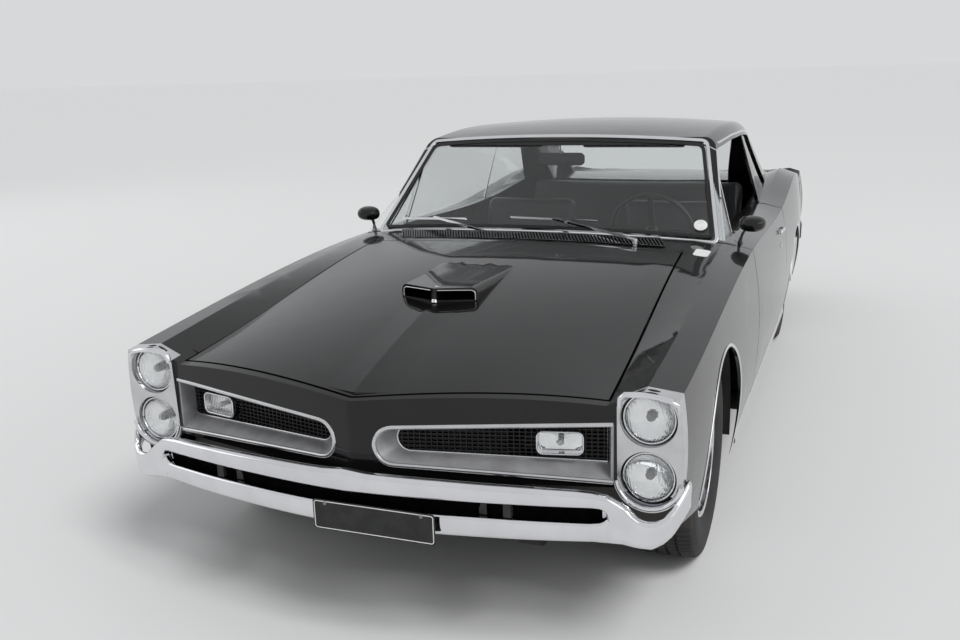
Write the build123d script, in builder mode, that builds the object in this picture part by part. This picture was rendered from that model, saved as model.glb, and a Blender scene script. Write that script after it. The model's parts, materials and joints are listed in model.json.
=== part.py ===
"""Two-door hardtop muscle car of the middle nineteen-sixties, as separate panels and assemblies.

Millimetres. +X points forward, +Y to the car's left and +Z up. The origin is on the
ground, under the middle of the overall length and width.
"""

from build123d import *

import os
from collections import namedtuple

os.makedirs("parts", exist_ok=True)

# Driving sizes of the whole car
LENGTH = 5245.0
WHEELBASE = 2921.0
FRONT_OVERHANG = 932.0
TRACK_FRONT = 1540.0
TRACK_REAR = 1520.0
AXLE_FRONT = LENGTH / 2 - FRONT_OVERHANG
AXLE_REAR = AXLE_FRONT - WHEELBASE
BUMPER_FRONT = LENGTH / 2
BUMPER_REAR = -LENGTH / 2

# Walls, gaps and clearances
SKIN = 12.0
ROOF_WALL = 26.0
GLASS = 6.0
PANEL_GAP = 7.0
HOOD_GAP = 8.0
RUN_CLEARANCE = 0.3

# Lower body stations along the car, from nose to tail
Station = namedtuple(
    "Station",
    "x z_centre y_seam z_seam y_band z_band y_crease z_crease y_side z_side y_sill z_sill",
)
BODY_STATIONS = [
    Station(2580, 724, 712, 712, 806, 768, 892, 758, 902, 610, 868, 430),
    Station(2400, 780, 705, 736, 806, 783, 902, 773, 915, 620, 890, 400),
    Station(1690, 920, 690, 838, 812, 856, 909, 842, 936, 600, 908, 250),
    Station(950, 958, 673, 929, 806, 912, 906, 890, 940, 620, 900, 205),
    Station(0, 915, 690, 912, 815, 905, 906, 878, 943, 620, 895, 205),
    Station(-600, 920, 690, 917, 812, 912, 907, 888, 942, 620, 895, 205),
    Station(-1231, 942, 700, 952, 800, 976, 900, 942, 943, 640, 900, 255),
    Station(-1800, 932, 694, 937, 800, 963, 886, 936, 925, 640, 890, 300),
    Station(-2540, 880, 655, 882, 790, 897, 856, 877, 886, 640, 850, 400),
]
CAVITY_DROP = 60.0

# Greenhouse stations, from the foot of the windshield to the tails of the sail panels
Roof = namedtuple("Roof", "x z_centre z_shoulder y_rail z_rail y_base z_base y_wall y_base_wall")
ROOF_STATIONS = [
    Roof(980, 1282, 1268, 668, 1240, 800, 900, 26, 26),
    Roof(470, 1327, 1312, 690, 1284, 802, 900, 26, 26),
    Roof(0, 1367, 1345, 700, 1296, 804, 900, 26, 26),
    Roof(-450, 1366, 1340, 694, 1290, 804, 900, 26, 26),
    Roof(-900, 1326, 1298, 668, 1252, 790, 900, 82, 204),
    Roof(-1350, 1184, 1170, 664, 1116, 762, 900, 86, 184),
    Roof(-1790, 960, 955, 690, 938, 738, 900, 112, 160),
]
ROOF_SHOULDER = 62.0

# Windshield surface: its side and centre lines at two heights
SCREEN_LOW_Z = 940.0
SCREEN_LOW_SIDE = (806.0, 768.0)
SCREEN_LOW_CENTRE = 899.0
SCREEN_HIGH_Z = 1289.0
SCREEN_HIGH_SIDE = (435.0, 663.0)
SCREEN_HIGH_CENTRE = 535.0
SCREEN_REACH = 900.0
PILLAR_DEPTH = 46.0

# Rear glass surface, set in between the sail panels
BACKLIGHT_LOW_Z = 930.0
BACKLIGHT_LOW_SIDE = -1396.0
BACKLIGHT_LOW_CENTRE = -1350.0
BACKLIGHT_HIGH_Z = 1400.0
BACKLIGHT_HIGH_SIDE = -806.0
BACKLIGHT_HIGH_CENTRE = -790.0
BACKLIGHT_HALF = 584.0

# Plan lines of the panels
HOOD_REAR_SIDE = 1062.0
HOOD_REAR_CENTRE = 1180.0
HOOD_FRONT_SIDE = 2360.0
HOOD_NOSE = 2536.0
SEAM_REAR = 672.0
SEAM_FRONT = 708.0
FENDER_FRONT = 2345.0
GRILLE_END = 733.0
NOSE_SIDE = 2383.0
NOSE_TIP = 2550.0
NOSE_DEPTH = 95.0
NOSE_BOTTOM = 500.0
COWL_REAR = 800.0
COWL_BOTTOM = 800.0
DOOR_FRONT = 790.0
DOOR_REAR = -520.0
DOOR_BOTTOM = 290.0
DOOR_INNER = 735.0
DOOR_REAR_SLANT = 14.0
DECK_FRONT = -1800.0
DECK_REAR = -2478.0
DECK_HALF_FRONT = 686.0
DECK_HALF_REAR = 640.0
SHELF_FRONT = -1250.0
TAIL_FACE = -2540.0
TAIL_DEPTH = 40.0
TAIL_BOTTOM = 470.0
QUARTER_INNER = 700.0
QUARTER_BLOCK_REAR = -835.0
CABIN_SIDE = 728.0

# Side windows, seen from the side
BELT_CUT = 860.0
RAIL_DROP = 16.0
SAIL_TOP = (-870.0, 1240.0)
SAIL_FOOT = (-1180.0, 930.0)
PANE_REAR_TOP = -545.0
PANE_REAR_FOOT = -512.0
VENT_FOOT = 560.0
VENT_TOP = 470.0
VENT_BAR = 16.0
PANE_INSET = 12.0
PANE_THICK = 5.0
PANE_TOP_GAP = 8.0
WINDOW_FROM = 500.0
SCREEN_SETBACK = 4.0
SCREEN_SLOPE = 1.42
SCREEN_SIDE_LEAN = (SCREEN_LOW_SIDE[0] - SCREEN_HIGH_SIDE[0]) / (SCREEN_HIGH_Z - SCREEN_LOW_Z)
DOOR_EDGE_Y = 925.0
VENT_INNER = 22.0
VENT_OUTER = 7.0

# Floor and frame heights
FLOOR = 270.0
FLOOR_SHEET = 8.0
FIREWALL_X = 1000.0
FLOOR_HALF = 728.0
TRUNK_FLOOR = 360.0
AXLE_FLOOR = 560.0
RAIL_LOW = 185.0

# Wheels and steering
TYRE_RADIUS = 340.0
TYRE_WIDTH = 235.0
RIM_RADIUS = 190.5
RIM_WIDTH = 180.0
KINGPIN_OFFSET = 110.0
SPINDLE_R = 20.0
ARCH_FRONT_R = 385.0
ARCH_REAR_R = 352.0
ARCH_CENTRE_Z = 335.0
HOUSE_R = 420.0
HOUSE_SHEET = 6.0
HOUSE_INNER = 452.0
HOUSE_OUTER = 895.0
TRUNK_HALF = 820.0

# Hood, nose and cowl details
HOOD_CUT_LOW = 600.0
HOOD_CUT_HIGH = 1100.0
NOSE_ROUND = 60.0
NOSE_TOP_UNDER_HOOD = 700.0
COWL_SLOTS = [-560 + 40 * i for i in range(29)]
COWL_SLOT_X = 985.0
COWL_SLOT_BOW = 87.0
COWL_SLOT_LENGTH = 46.0
COWL_SLOT_WIDTH = 9.0

# Grilles: outlines on the grille face, measured from the nose tip along the face and from mid height
GRILLE_MID_Z = 600.0
GrilleOutline = namedtuple("GrilleOutline", "x_round x_in low_in top_in x_out low_out top_out")
GRILLE_WINDOW = GrilleOutline(66, 120, -54, 60, 742, -85, 84)
GRILLE_MOUTH = GrilleOutline(75, 122, -46, 52, 734, -77, 76)
GRILLE_THROAT = GrilleOutline(122, 160, -30, 50, 728, -46, 72)
GRILLE_LIP = 2.0
GRILLE_BACK = 70.0
MESH_FRONT = 58.0
MESH_MID_X = 425.0
MESH_MID_Z = 16.0
MESH_BAR = 3.0
MESH_ROWS = 10
MESH_ROW_PITCH = 12.0
MESH_COLUMNS = 37
MESH_COLUMN_PITCH = 17.0
PARK_X = 592.0
PARK_Z = 4.0
PARK_WIDTH = 138.0
PARK_HEIGHT = 62.0
PARK_ROUND = 18.0
PARK_FRONT = 34.0

# Headlamps
BEZEL_LOW = 492.0
BEZEL_HIGH = 900.0
BEZEL_FRONT_LOW = 2383.0
BEZEL_FRONT_HIGH = 2402.0
LAMP_Y = 819.0
LAMP_HEIGHTS = (708.0, 539.0)
LAMP_R = 71.0
BOWL_R = 82.0
LAMP_SEAT = 2350.0
BOWL_DEPTH = 60.0
LENS_RIM = 20.0
LENS_CROWN = 32.0
ARCH_FROM = 600.0

# Hood scoop
SCOOP_TIP = 1944.0
SCOOP_CORNER = 1892.0
SCOOP_REAR = 1280.0
SCOOP_LOW = 800.0
SCOOP_TOP_FRONT = 931.0
SCOOP_TOP_REAR = 937.0
SCOOP_HALF_FRONT = 138.0
SCOOP_HALF_REAR = 172.0
SCOOP_ROUND = 24.0
NOSTRIL_BACK = 1770.0
NOSTRIL_DIVIDER = 9.0
NOSTRIL_WALL = 9.0
NOSTRIL_FLOOR = 889.0

# Bumpers: plan outline of the left half and front outlines as Y and Z points
BumperPlan = namedtuple("BumperPlan", "x_tip x_mid y_mid x_corner y_corner x_turn y_turn x_end y_end")
BUMPER_PLAN_FRONT = BumperPlan(BUMPER_FRONT, 2578, 390, 2478, 770, 2424, 902, 2330, 945)
BUMPER_PLAN_REAR = BumperPlan(BUMPER_REAR, -2614, 400, -2590, 770, -2554, 902, -2440, 930)
BUMPER_TOP_FRONT = [(0, 540), (70, 528), (400, 525), (700, 522), (745, 519), (790, 474), (836, 455), (885, 480),
                    (918, 532), (960, 562)]
BUMPER_FOOT_FRONT = [(0, 381), (390, 381), (700, 370), (852, 348), (900, 382), (960, 480)]
BUMPER_SLOT = [(-722, 488), (-640, 474), (-400, 466), (400, 466), (640, 474), (722, 488), (722, 450), (400, 445),
               (-400, 445), (-722, 450)]
BUMPER_TOP_REAR = [(0, 512), (500, 512), (860, 520), (960, 535)]
BUMPER_FOOT_REAR = [(0, 388), (500, 388), (860, 392), (960, 420)]
BUMPER_CUT_LOW = 300.0
BUMPER_WALL = 10.0
IRON_HALF = 22.0
IRON_THICK = 20.0
IRON_REACH = 220.0
IRON_FRONT_Z = (345.0, 395.0, 440.0)
IRON_REAR_Z = (290.0, 410.0, 450.0)

# Far planes that cut right through the car
OUTSIDE = 1000.0
UNDERSIDE = 100.0
OVERHEAD = 1450.0

# Tail and deck
DECK_LOW = 800.0
TAIL_LAMP_Y = 560.0
TAIL_LAMP_Z = 690.0
TAIL_LAMP_PITCH = 44.0
TAIL_LAMP_ROWS = 3
TAIL_LAMP_WIDTH = 420.0
TAIL_LAMP_HEIGHT = 22.0
TAIL_LAMP_DEPTH = 24.0

# Floor line in side view, back from the toe board, and the frame below it
TOE_X = 860.0
TOE_Z = 520.0
FLOOR_REAR_HALF = 600.0
WELL_FRONT = -1640.0
FLOOR_LINE = [
    (-720, FLOOR),
    (-800, 400),
    (-980, 400),
    (-1060, AXLE_FLOOR - 15),
    (-1420, AXLE_FLOOR - 15),
    (-1540, TRUNK_FLOOR),
    (DECK_REAR - PANEL_GAP, TRUNK_FLOOR),
]
TUNNEL_HALF = 158.0
TUNNEL_SIDE = [(1008, FLOOR), (1008, 470), (560, 460), (-400, 352), (-400, FLOOR)]
TUNNEL_INSIDE = [(1108, UNDERSIDE), (1108, 462), (1008, 462), (560, 452), (-392, 344), (-392, UNDERSIDE)]
FRAME_FRONT = 2440.0
HORN_Z = 430.0
HORN_RISE = (2290.0, 2170.0)
RAIL_DEPTH = 85.0
RAIL_WIDTH = 70.0
FRAME_REAR = -2400.0
RAIL_LINE = [(FRAME_FRONT, 420), (1230, 420), (900, 660), (-640, 660), (-820, 560), (-2400, 560)]
DEEP_MEMBERS = [(2110, 420, 90), (AXLE_FRONT, 420, 120)]
SHALLOW_MEMBERS = [(500, 660, 70), (-680, 620, 60), (-1480, 560, 60), (-2365, 560, 70)]
MEMBER_DEPTH = 34.0
FRONT_HOUSE_HOLE = (200.0, 290.0)
REAR_HOUSE_HOLE = (75.0, 200.0)
HOUSE_REAR_R = 372.0

# Engine, radiator, tank, exhaust
ENGINE_REAR = 1150.0
ENGINE_HALF = 225.0
GEARBOX_HALF = 130.0
ENGINE_SIDE = [(2050, 340), (2050, 700), (1900, 790), (1200, 800), (1150, 620), (1050, 480), (990, 438), (480, 410),
               (480, FLOOR), (1150, FLOOR), (1250, 340)]
ENGINE_FOOT_X = 1690.0
ENGINE_FOOT_Y = 180.0
ENGINE_FOOT = 60.0
RADIATOR_X = 2085.0
RADIATOR_DEPTH = 50.0
RADIATOR_HALF = 320.0
RADIATOR_TOP = 700.0
TANK_FRONT = -1800.0
TANK_REAR = -2320.0
TANK_HALF = 250.0
TANK_LOW = 225.0
TANK_ROUND = 50.0
EXHAUST_FRONT = 1400.0
EXHAUST_REAR = -2560.0
EXHAUST_Y = 300.0
EXHAUST_Z = 203.0
EXHAUST_R = 26.0
MUFFLER_REAR = -610.0
MUFFLER_LENGTH = 480.0
MUFFLER_HALF_WIDTH = 110.0
MUFFLER_HALF_HEIGHT = 50.0
EXHAUST_HANGERS = (700.0, -450.0)

# Cabin
DASH_HALF = 672.0
DASH_SIDE = [(800, 640), (800, 912), (760, 925), (590, 900), (560, 860), (570, 720), (620, 640)]
SEAT_Y = 385.0
SEAT_HALF = 205.0
SEAT_SIDE = [(330, 278), (360, 480), (320, 520), (-90, 490), (-230, 985), (-300, 990), (-330, 950), (-190, 440), (-190, 278)]
BENCH_HALF = 590.0
BENCH_SIDE = [(-420, 278), (-400, 470), (-440, 500), (-900, 470), (-1060, 905), (-1150, 915), (-1044, 565), (-958, 408),
              (-778, 408), (-698, 278)]

# Axle and front suspension
AXLE_TUBE_R = 38.0
AXLE_TUBE_HALF = 664.0
SPINDLE_OUT = 22.0
DIFF_R = 125.0
AXLE_LINKS = [((-1240, 540, 330), (-1000, 580, 380))]
LOWER_ARM_Z = 190.0
UPPER_ARM_Z = 478.0
ARM_THICK = 16.0
ARM_INNER = 455.0
ARM_TIP = 26.0
ARM_HALF_BASE = 160.0
ARM_HALF_TIP = 28.0
STUD_R = 9.0
STUD_LENGTH = 24.0
STUD_CLEARANCE = 0.4
TOWER_HALF = 60.0
TOWER_INNER = 412.0
TOWER_OUTER = 440.0
TOWER_TOP = 520.0
SPRING_Y = 512.0
SPRING_R = 50.0
KNUCKLE_HALF = 24.0
KNUCKLE_FACE = 14.0
KNUCKLE_GAP = 5.0
LEVER_HALF = 14.0
LEVER_LENGTH = 150.0
LEVER_Z = 282.0
LEVER_THICK = 12.0
JOINT_R = 6.0
RELAY_GAP = 5.0
RELAY_THICK = 20.0
PITMAN_Y = 310.0
PIVOT_R = 12.0
PIVOT_LENGTH = 40.0
PIVOT_GAP = 5.0
BOX_HALF = 30.0
BOX_OUTER = 410.0
BOX_TOP = 400.0
RAIL_FACE = 386.0

# Tyres and wheels
TREAD_EDGE = 24.0
SHOULDER_IN = 9.0
SHOULDER_DROP = 12.0
DISC_BACK = -6.0
WHEEL_SPOKES = 5
WINDOW_RADIUS = 118.0
WINDOW_LENGTH = 84.0
WINDOW_WIDTH = 46.0
FLANGE_R = 204.0
FLANGE_OUT = 97.0
WHEEL_SECTION = [
    (-90, 190.5), (-90, 204), (-97, 204), (-97, 184), (-60, 178), (-10, 172), (0, 160), (6, 80), (0, 60), (-90, 60),
    (-90, 20.3), (24, 20.3), (24, 55), (18, 70), (18, 150), (30, 172), (60, 180), (97, 184), (97, 204), (90, 204),
    (90, 190.5),
]

# Steering column and wheel
COLUMN_TOP = (300.0, 385.0, 860.0)
COLUMN_SLOPE = (-0.94, 0.0, 0.34)
COLUMN_GAP = 6.0
COLUMN_R = 26.0
COLUMN_LENGTH = 780.0
HUB_R = 32.0
HUB_LENGTH = 34.0
STEER_R = 190.0
STEER_RIM = 10.0
SPOKE_WIDTH = 26.0
SPOKE_THICK = 8.0
SPOKE_ANGLES = (0.0, 180.0, 270.0)

# Wipers: pivot, arm tip and the two ends of the blade
WIPER_FOOT = 900.0
WIPER_PIVOT_R = 11.0
WIPER_WIDTH = 12.0
WIPER_THICK = 8.0
WIPERS = [
    ((1054, 478, 966), (875, 85, 1010), ((868, 278, 1004), (868, -109, 1012))),
    ((1041, -124, 966), (850, -480, 1000), ((880, -313, 1000), (836, -640, 988))),
]

# Door mirrors
MIRROR_X = 690.0
MIRROR_Y = 889.0
MIRROR_Z = 985.0
MIRROR_WIDTH = 112.0
MIRROR_HEIGHT = 72.0
MIRROR_ROUND = 30.0
MIRROR_DEPTH = 60.0
MIRROR_FOOT = (735.0, 830.0, 890.0)
MIRROR_STALK_R = 9.0
MIRROR_STALK = 90.0


def both(point):
    """The point and its mirror image across the middle plane, for a sketch on the YZ plane."""
    return point, (-point[0], point[1])


def body_section(row, wall=0.0, drop=0.0):
    """Cross-section of the lower body at one station, moved in by a wall and down by a drop."""
    seam, seam_r = both((row.y_seam, row.z_seam - wall))
    band, band_r = both((row.y_band - wall / 2, row.z_band - wall))
    crease, crease_r = both((row.y_crease - wall, row.z_crease - wall))
    side, side_r = both((row.y_side - wall, row.z_side))
    sill, sill_r = both((row.y_sill - wall, row.z_sill - drop))
    with BuildSketch(Plane.YZ.offset(row.x)) as section:
        with BuildLine():
            ThreePointArc(seam_r, (0, row.z_centre - wall), seam)
            Polyline(seam, band, crease)
            ThreePointArc(crease, side, sill)
            Line(sill, sill_r)
            ThreePointArc(sill_r, side_r, crease_r)
            Polyline(crease_r, band_r, seam_r)
        make_face()
    return section.sketch


def roof_section(row, wall=0.0, y_wall=0.0, y_base_wall=0.0, drop=0.0):
    """Cross-section of the greenhouse at one station, moved in by its walls."""
    top = row.z_centre - wall
    shoulder, shoulder_r = both((row.y_rail - ROOF_SHOULDER - y_wall, row.z_shoulder - wall))
    rail, rail_r = both((row.y_rail - y_wall, row.z_rail - wall / 2))
    bulge, bulge_r = both(
        (rail[0] - ROOF_SHOULDER * 0.36, (rail[1] + shoulder[1]) / 2 + (shoulder[1] - rail[1]) * 0.2)
    )
    base, base_r = both((row.y_base - y_base_wall, row.z_base - drop))
    with BuildSketch(Plane.YZ.offset(row.x)) as section:
        with BuildLine():
            ThreePointArc(shoulder_r, (0, top), shoulder)
            ThreePointArc(shoulder, bulge, rail)
            Polyline(rail, base, base_r, rail_r)
            ThreePointArc(rail_r, bulge_r, shoulder_r)
        make_face()
    return section.sketch


def side_prism(points, y_from, y_to):
    """Outline drawn in side view as X and Z points, made solid across the car."""
    with BuildPart() as prism:
        with BuildSketch(Plane.XZ) as outline:
            with BuildLine():
                Polyline(*points, close=True)
            make_face()
        extrude(outline.sketch, amount=-y_to, mode=Mode.ADD)
        if y_from:
            extrude(outline.sketch, amount=-y_from, mode=Mode.SUBTRACT)
    return prism.part


def plan_prism(points, z_from, z_to):
    """Outline drawn in plan as X and Y points, made solid between two heights."""
    with BuildPart() as prism:
        with BuildSketch(Plane.XY.offset(z_from)):
            with BuildLine():
                Polyline(*points, close=True)
            make_face()
        extrude(amount=z_to - z_from)
    return prism.part


def pair(shape):
    """The shape and its mirror image on the other side of the car."""
    return shape + mirror(shape, about=Plane.XZ, mode=Mode.PRIVATE)


def box_between(low, high):
    """Plain block between two corners."""
    size = [b - a for a, b in zip(low, high)]
    centre = [(a + b) / 2 for a, b in zip(low, high)]
    with BuildPart() as block:
        with Locations(tuple(centre)):
            Box(*size)
    return block.part


def screen_x(z, y, shift=0.0):
    """Forward place of the windshield surface at one height and side distance."""
    share = (z - SCREEN_LOW_Z) / (SCREEN_HIGH_Z - SCREEN_LOW_Z)
    side_x = SCREEN_LOW_SIDE[0] + share * (SCREEN_HIGH_SIDE[0] - SCREEN_LOW_SIDE[0])
    side_y = SCREEN_LOW_SIDE[1] + share * (SCREEN_HIGH_SIDE[1] - SCREEN_LOW_SIDE[1])
    centre_x = SCREEN_LOW_CENTRE + share * (SCREEN_HIGH_CENTRE - SCREEN_LOW_CENTRE)
    return centre_x - (centre_x - side_x) * (y / side_y) ** 2 + shift


def ahead_of_screen(shift=0.0):
    """Everything in front of the windshield surface, moved along the car by a shift."""
    sections = []
    for z in (BELT_CUT - 60, 1440):
        end = screen_x(z, SCREEN_REACH, shift)
        with BuildSketch(Plane.XY.offset(z)) as section:
            with BuildLine():
                ThreePointArc((end, -SCREEN_REACH), (screen_x(z, 0, shift), 0), (end, SCREEN_REACH))
                Polyline((end, SCREEN_REACH), (1500, SCREEN_REACH), (1500, -SCREEN_REACH), (end, -SCREEN_REACH))
            make_face()
        sections.append(section.sketch)
    with BuildPart() as block:
        loft(sections, ruled=True)
    return block.part


def behind_backlight(shift=0.0):
    """Everything behind the rear glass surface and between the sail panels."""
    sections = []
    lines = (
        (BACKLIGHT_LOW_Z, BACKLIGHT_LOW_SIDE, BACKLIGHT_LOW_CENTRE),
        (BACKLIGHT_HIGH_Z, BACKLIGHT_HIGH_SIDE, BACKLIGHT_HIGH_CENTRE),
    )
    for z, side_x, centre_x in lines:
        left = (side_x + shift, BACKLIGHT_HALF)
        right = (side_x + shift, -BACKLIGHT_HALF)
        with BuildSketch(Plane.XY.offset(z)) as section:
            with BuildLine():
                ThreePointArc(left, (centre_x + shift, 0), right)
                Polyline(right, (-2300, -BACKLIGHT_HALF), (-2300, BACKLIGHT_HALF), left)
            make_face()
        sections.append(section.sketch)
    with BuildPart() as block:
        loft(sections, ruled=True)
    return block.part


# Master shapes that the panels are cut from
with BuildPart() as body_outer:
    loft([body_section(row) for row in BODY_STATIONS])

with BuildPart() as body_inner:
    loft([body_section(row, SKIN, CAVITY_DROP) for row in BODY_STATIONS])

with BuildPart() as body_shell:
    add(body_outer.part)
    add(body_inner.part, mode=Mode.SUBTRACT)

with BuildPart() as roof_outer:
    loft([roof_section(row) for row in ROOF_STATIONS])

with BuildPart() as roof_inner:
    loft([roof_section(row, ROOF_WALL, row.y_wall, row.y_base_wall, CAVITY_DROP) for row in ROOF_STATIONS])


def seam_y(x):
    """Side distance of the hood seam at one place along the car."""
    return SEAM_REAR + (x - HOOD_REAR_SIDE) / (HOOD_FRONT_SIDE - HOOD_REAR_SIDE) * (SEAM_FRONT - SEAM_REAR)


def hood_outline(gap=0.0):
    """Hood outline in plan: bowed rear edge, straight seams and a V-shaped nose, moved in by a gap."""
    rear = (HOOD_REAR_SIDE + gap, SEAM_REAR - gap)
    front = (HOOD_FRONT_SIDE - gap, SEAM_FRONT - gap)
    with BuildSketch(Plane.XY.offset(HOOD_CUT_LOW)) as outline:
        with BuildLine():
            ThreePointArc((rear[0], -rear[1]), (HOOD_REAR_CENTRE + gap, 0), rear)
            Polyline(rear, front, (HOOD_NOSE - gap, 0), (front[0], -front[1]), (rear[0], -rear[1]))
        make_face()
        fillet(outline.vertices().sort_by(Axis.X)[-1], radius=NOSE_ROUND)
    return outline.sketch


def nose_outline():
    """Plan outline of the V-shaped front: a chevron as deep as the grille recess."""
    with BuildSketch(Plane.XY.offset(NOSE_BOTTOM)) as outline:
        with BuildLine():
            Polyline(
                (NOSE_SIDE, GRILLE_END),
                (NOSE_TIP, 0),
                (NOSE_SIDE, -GRILLE_END),
                (NOSE_SIDE - NOSE_DEPTH, -GRILLE_END),
                (NOSE_TIP - NOSE_DEPTH, 0),
                (NOSE_SIDE - NOSE_DEPTH, GRILLE_END),
                close=True,
            )
        make_face()
        fillet(outline.vertices().sort_by(Axis.X)[-1], radius=NOSE_ROUND)
    return outline.sketch


def grille_plane(depth=0.0):
    """Plane of the left grille's face, or one parallel to it further back."""
    face = Plane(
        origin=(NOSE_TIP, 0, GRILLE_MID_Z),
        x_dir=(NOSE_SIDE - NOSE_TIP, GRILLE_END, 0),
        z_dir=(GRILLE_END, NOSE_TIP - NOSE_SIDE, 0),
    )
    return face.offset(-depth)


def grille_shape(row, depth):
    """Grille outline with a round inner end, from one row of the table, on a plane set back by a depth."""
    with BuildSketch(grille_plane(depth)) as shape:
        with BuildLine():
            Polyline((row.x_in, row.low_in), (row.x_out, row.low_out), (row.x_out, row.top_out), (row.x_in, row.top_in))
            ThreePointArc((row.x_in, row.top_in), (row.x_round, (row.low_in + row.top_in) / 2), (row.x_in, row.low_in))
        make_face()
    return shape.sketch


with BuildPart() as hood_block:
    extrude(hood_outline(HOOD_GAP), amount=HOOD_CUT_HIGH - HOOD_CUT_LOW)

with BuildPart() as hood_space:
    extrude(hood_outline(), amount=HOOD_CUT_HIGH - HOOD_CUT_LOW)

with BuildPart() as arch_cut_front:
    with BuildSketch(Plane.XZ.offset(-ARCH_FROM)):
        with Locations((AXLE_FRONT, ARCH_CENTRE_Z)):
            Circle(ARCH_FRONT_R)
    extrude(amount=-(1000 - ARCH_FROM))
    mirror(about=Plane.XZ)

with BuildPart() as arch_cut_rear:
    with BuildSketch(Plane.XZ.offset(-ARCH_FROM)):
        with Locations((AXLE_REAR, ARCH_CENTRE_Z)):
            Circle(ARCH_REAR_R)
    extrude(amount=-(1000 - ARCH_FROM))
    mirror(about=Plane.XZ)

# Twin-nostril scoop: its top runs level until the hood rises to meet it
with BuildPart() as scoop:
    with BuildSketch(Plane.YZ.offset(SCOOP_TIP)) as scoop_front:
        with Locations((0, (SCOOP_LOW + SCOOP_TOP_FRONT) / 2)):
            RectangleRounded(2 * SCOOP_HALF_FRONT, SCOOP_TOP_FRONT - SCOOP_LOW, SCOOP_ROUND)
    with BuildSketch(Plane.YZ.offset(SCOOP_REAR)) as scoop_rear:
        with Locations((0, (SCOOP_LOW + SCOOP_TOP_REAR) / 2)):
            RectangleRounded(2 * SCOOP_HALF_REAR, SCOOP_TOP_REAR - SCOOP_LOW, SCOOP_ROUND)
    loft([scoop_front.sketch, scoop_rear.sketch])
    add(body_inner.part, mode=Mode.SUBTRACT)
    prow = [(SCOOP_TIP + 1, 0), (SCOOP_CORNER, SCOOP_HALF_FRONT + 5), (SCOOP_CORNER, OUTSIDE), (SCOOP_TIP + 1, OUTSIDE)]
    add(pair(plan_prism(prow, UNDERSIDE, OVERHEAD)), mode=Mode.SUBTRACT)
    nostril = box_between(
        (NOSTRIL_BACK, NOSTRIL_DIVIDER, NOSTRIL_FLOOR),
        (SCOOP_TIP + 1, SCOOP_HALF_FRONT - NOSTRIL_WALL, SCOOP_TOP_FRONT - NOSTRIL_WALL),
    )
    add(pair(nostril), mode=Mode.SUBTRACT)

# Hood with its scoop
with BuildPart() as hood:
    add(body_shell.part)
    add(scoop.part)
    add(hood_block.part, mode=Mode.INTERSECT)
hood.part.label = "hood"
export_step(hood.part, "parts/hood.step")

# Front fenders with round wheel openings
with BuildPart() as front_fenders:
    add(body_shell.part)
    nose_back = NOSE_SIDE - NOSE_DEPTH
    zone = plan_prism(
        [
            (DOOR_FRONT + PANEL_GAP, SEAM_REAR),
            (HOOD_REAR_SIDE, SEAM_REAR),
            (nose_back, seam_y(nose_back)),
            (nose_back, GRILLE_END),
            (FENDER_FRONT, GRILLE_END),
            (FENDER_FRONT, OUTSIDE),
            (DOOR_FRONT + PANEL_GAP, OUTSIDE),
        ],
        UNDERSIDE,
        OVERHEAD,
    )
    add(pair(zone), mode=Mode.INTERSECT)
    add(arch_cut_front.part, mode=Mode.SUBTRACT)
front_fenders.part.label = "front_fenders"
export_step(front_fenders.part, "parts/front_fenders.step")

# Cowl box between the hood and the windshield, with its row of air slots
with BuildPart() as cowl_panel:
    add(body_outer.part)
    with BuildSketch(Plane.XY.offset(COWL_BOTTOM)) as cowl_outline:
        with BuildLine():
            ThreePointArc((HOOD_REAR_SIDE, -SEAM_REAR), (HOOD_REAR_CENTRE, 0), (HOOD_REAR_SIDE, SEAM_REAR))
            Polyline(
                (HOOD_REAR_SIDE, SEAM_REAR),
                (COWL_REAR, SEAM_REAR),
                (COWL_REAR, -SEAM_REAR),
                (HOOD_REAR_SIDE, -SEAM_REAR),
            )
        make_face()
    extrude(cowl_outline.sketch, amount=300, mode=Mode.INTERSECT)
    with BuildSketch(Plane.XY.offset(COWL_BOTTOM + SKIN)) as plenum:
        add(offset(cowl_outline.sketch, amount=-SKIN, mode=Mode.PRIVATE).moved(Location((0, 0, SKIN))))
    hollow = extrude(plenum.sketch, amount=300, mode=Mode.PRIVATE) & body_inner.part
    add(hollow, mode=Mode.SUBTRACT)
    with BuildSketch(Plane.XY.offset(1000)) as slots:
        with Locations(*[(COWL_SLOT_X + COWL_SLOT_BOW * (1 - (y / 560) ** 2), y) for y in COWL_SLOTS]):
            SlotOverall(COWL_SLOT_LENGTH, COWL_SLOT_WIDTH, rotation=24)
    extrude(slots.sketch, amount=-90, mode=Mode.SUBTRACT)
cowl_panel.part.label = "cowl_panel"
export_step(cowl_panel.part, "parts/cowl_panel.step")

# Nose panel: header under the hood's lip and the prow between the grilles
with BuildPart() as nose_panel:
    extrude(nose_outline(), amount=400)
    add(body_outer.part, mode=Mode.INTERSECT)
    header_cut = hood_outline().moved(Location((0, 0, NOSE_TOP_UNDER_HOOD - HOOD_CUT_LOW)))
    extrude(header_cut, amount=400, mode=Mode.SUBTRACT)
    window = extrude(grille_shape(GRILLE_WINDOW, -20), amount=-(NOSE_DEPTH + 60), mode=Mode.PRIVATE)
    add(pair(window), mode=Mode.SUBTRACT)
nose_panel.part.label = "nose_panel"
export_step(nose_panel.part, "parts/nose_panel.step")

# Parking lamp pods stand in the lower edge of each grille mesh
with BuildPart() as lamp_pod:
    with BuildSketch(grille_plane(GRILLE_BACK)):
        with Locations((PARK_X, PARK_Z)):
            RectangleRounded(PARK_WIDTH, PARK_HEIGHT, PARK_ROUND)
    extrude(amount=GRILLE_BACK - PARK_FRONT)

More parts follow.
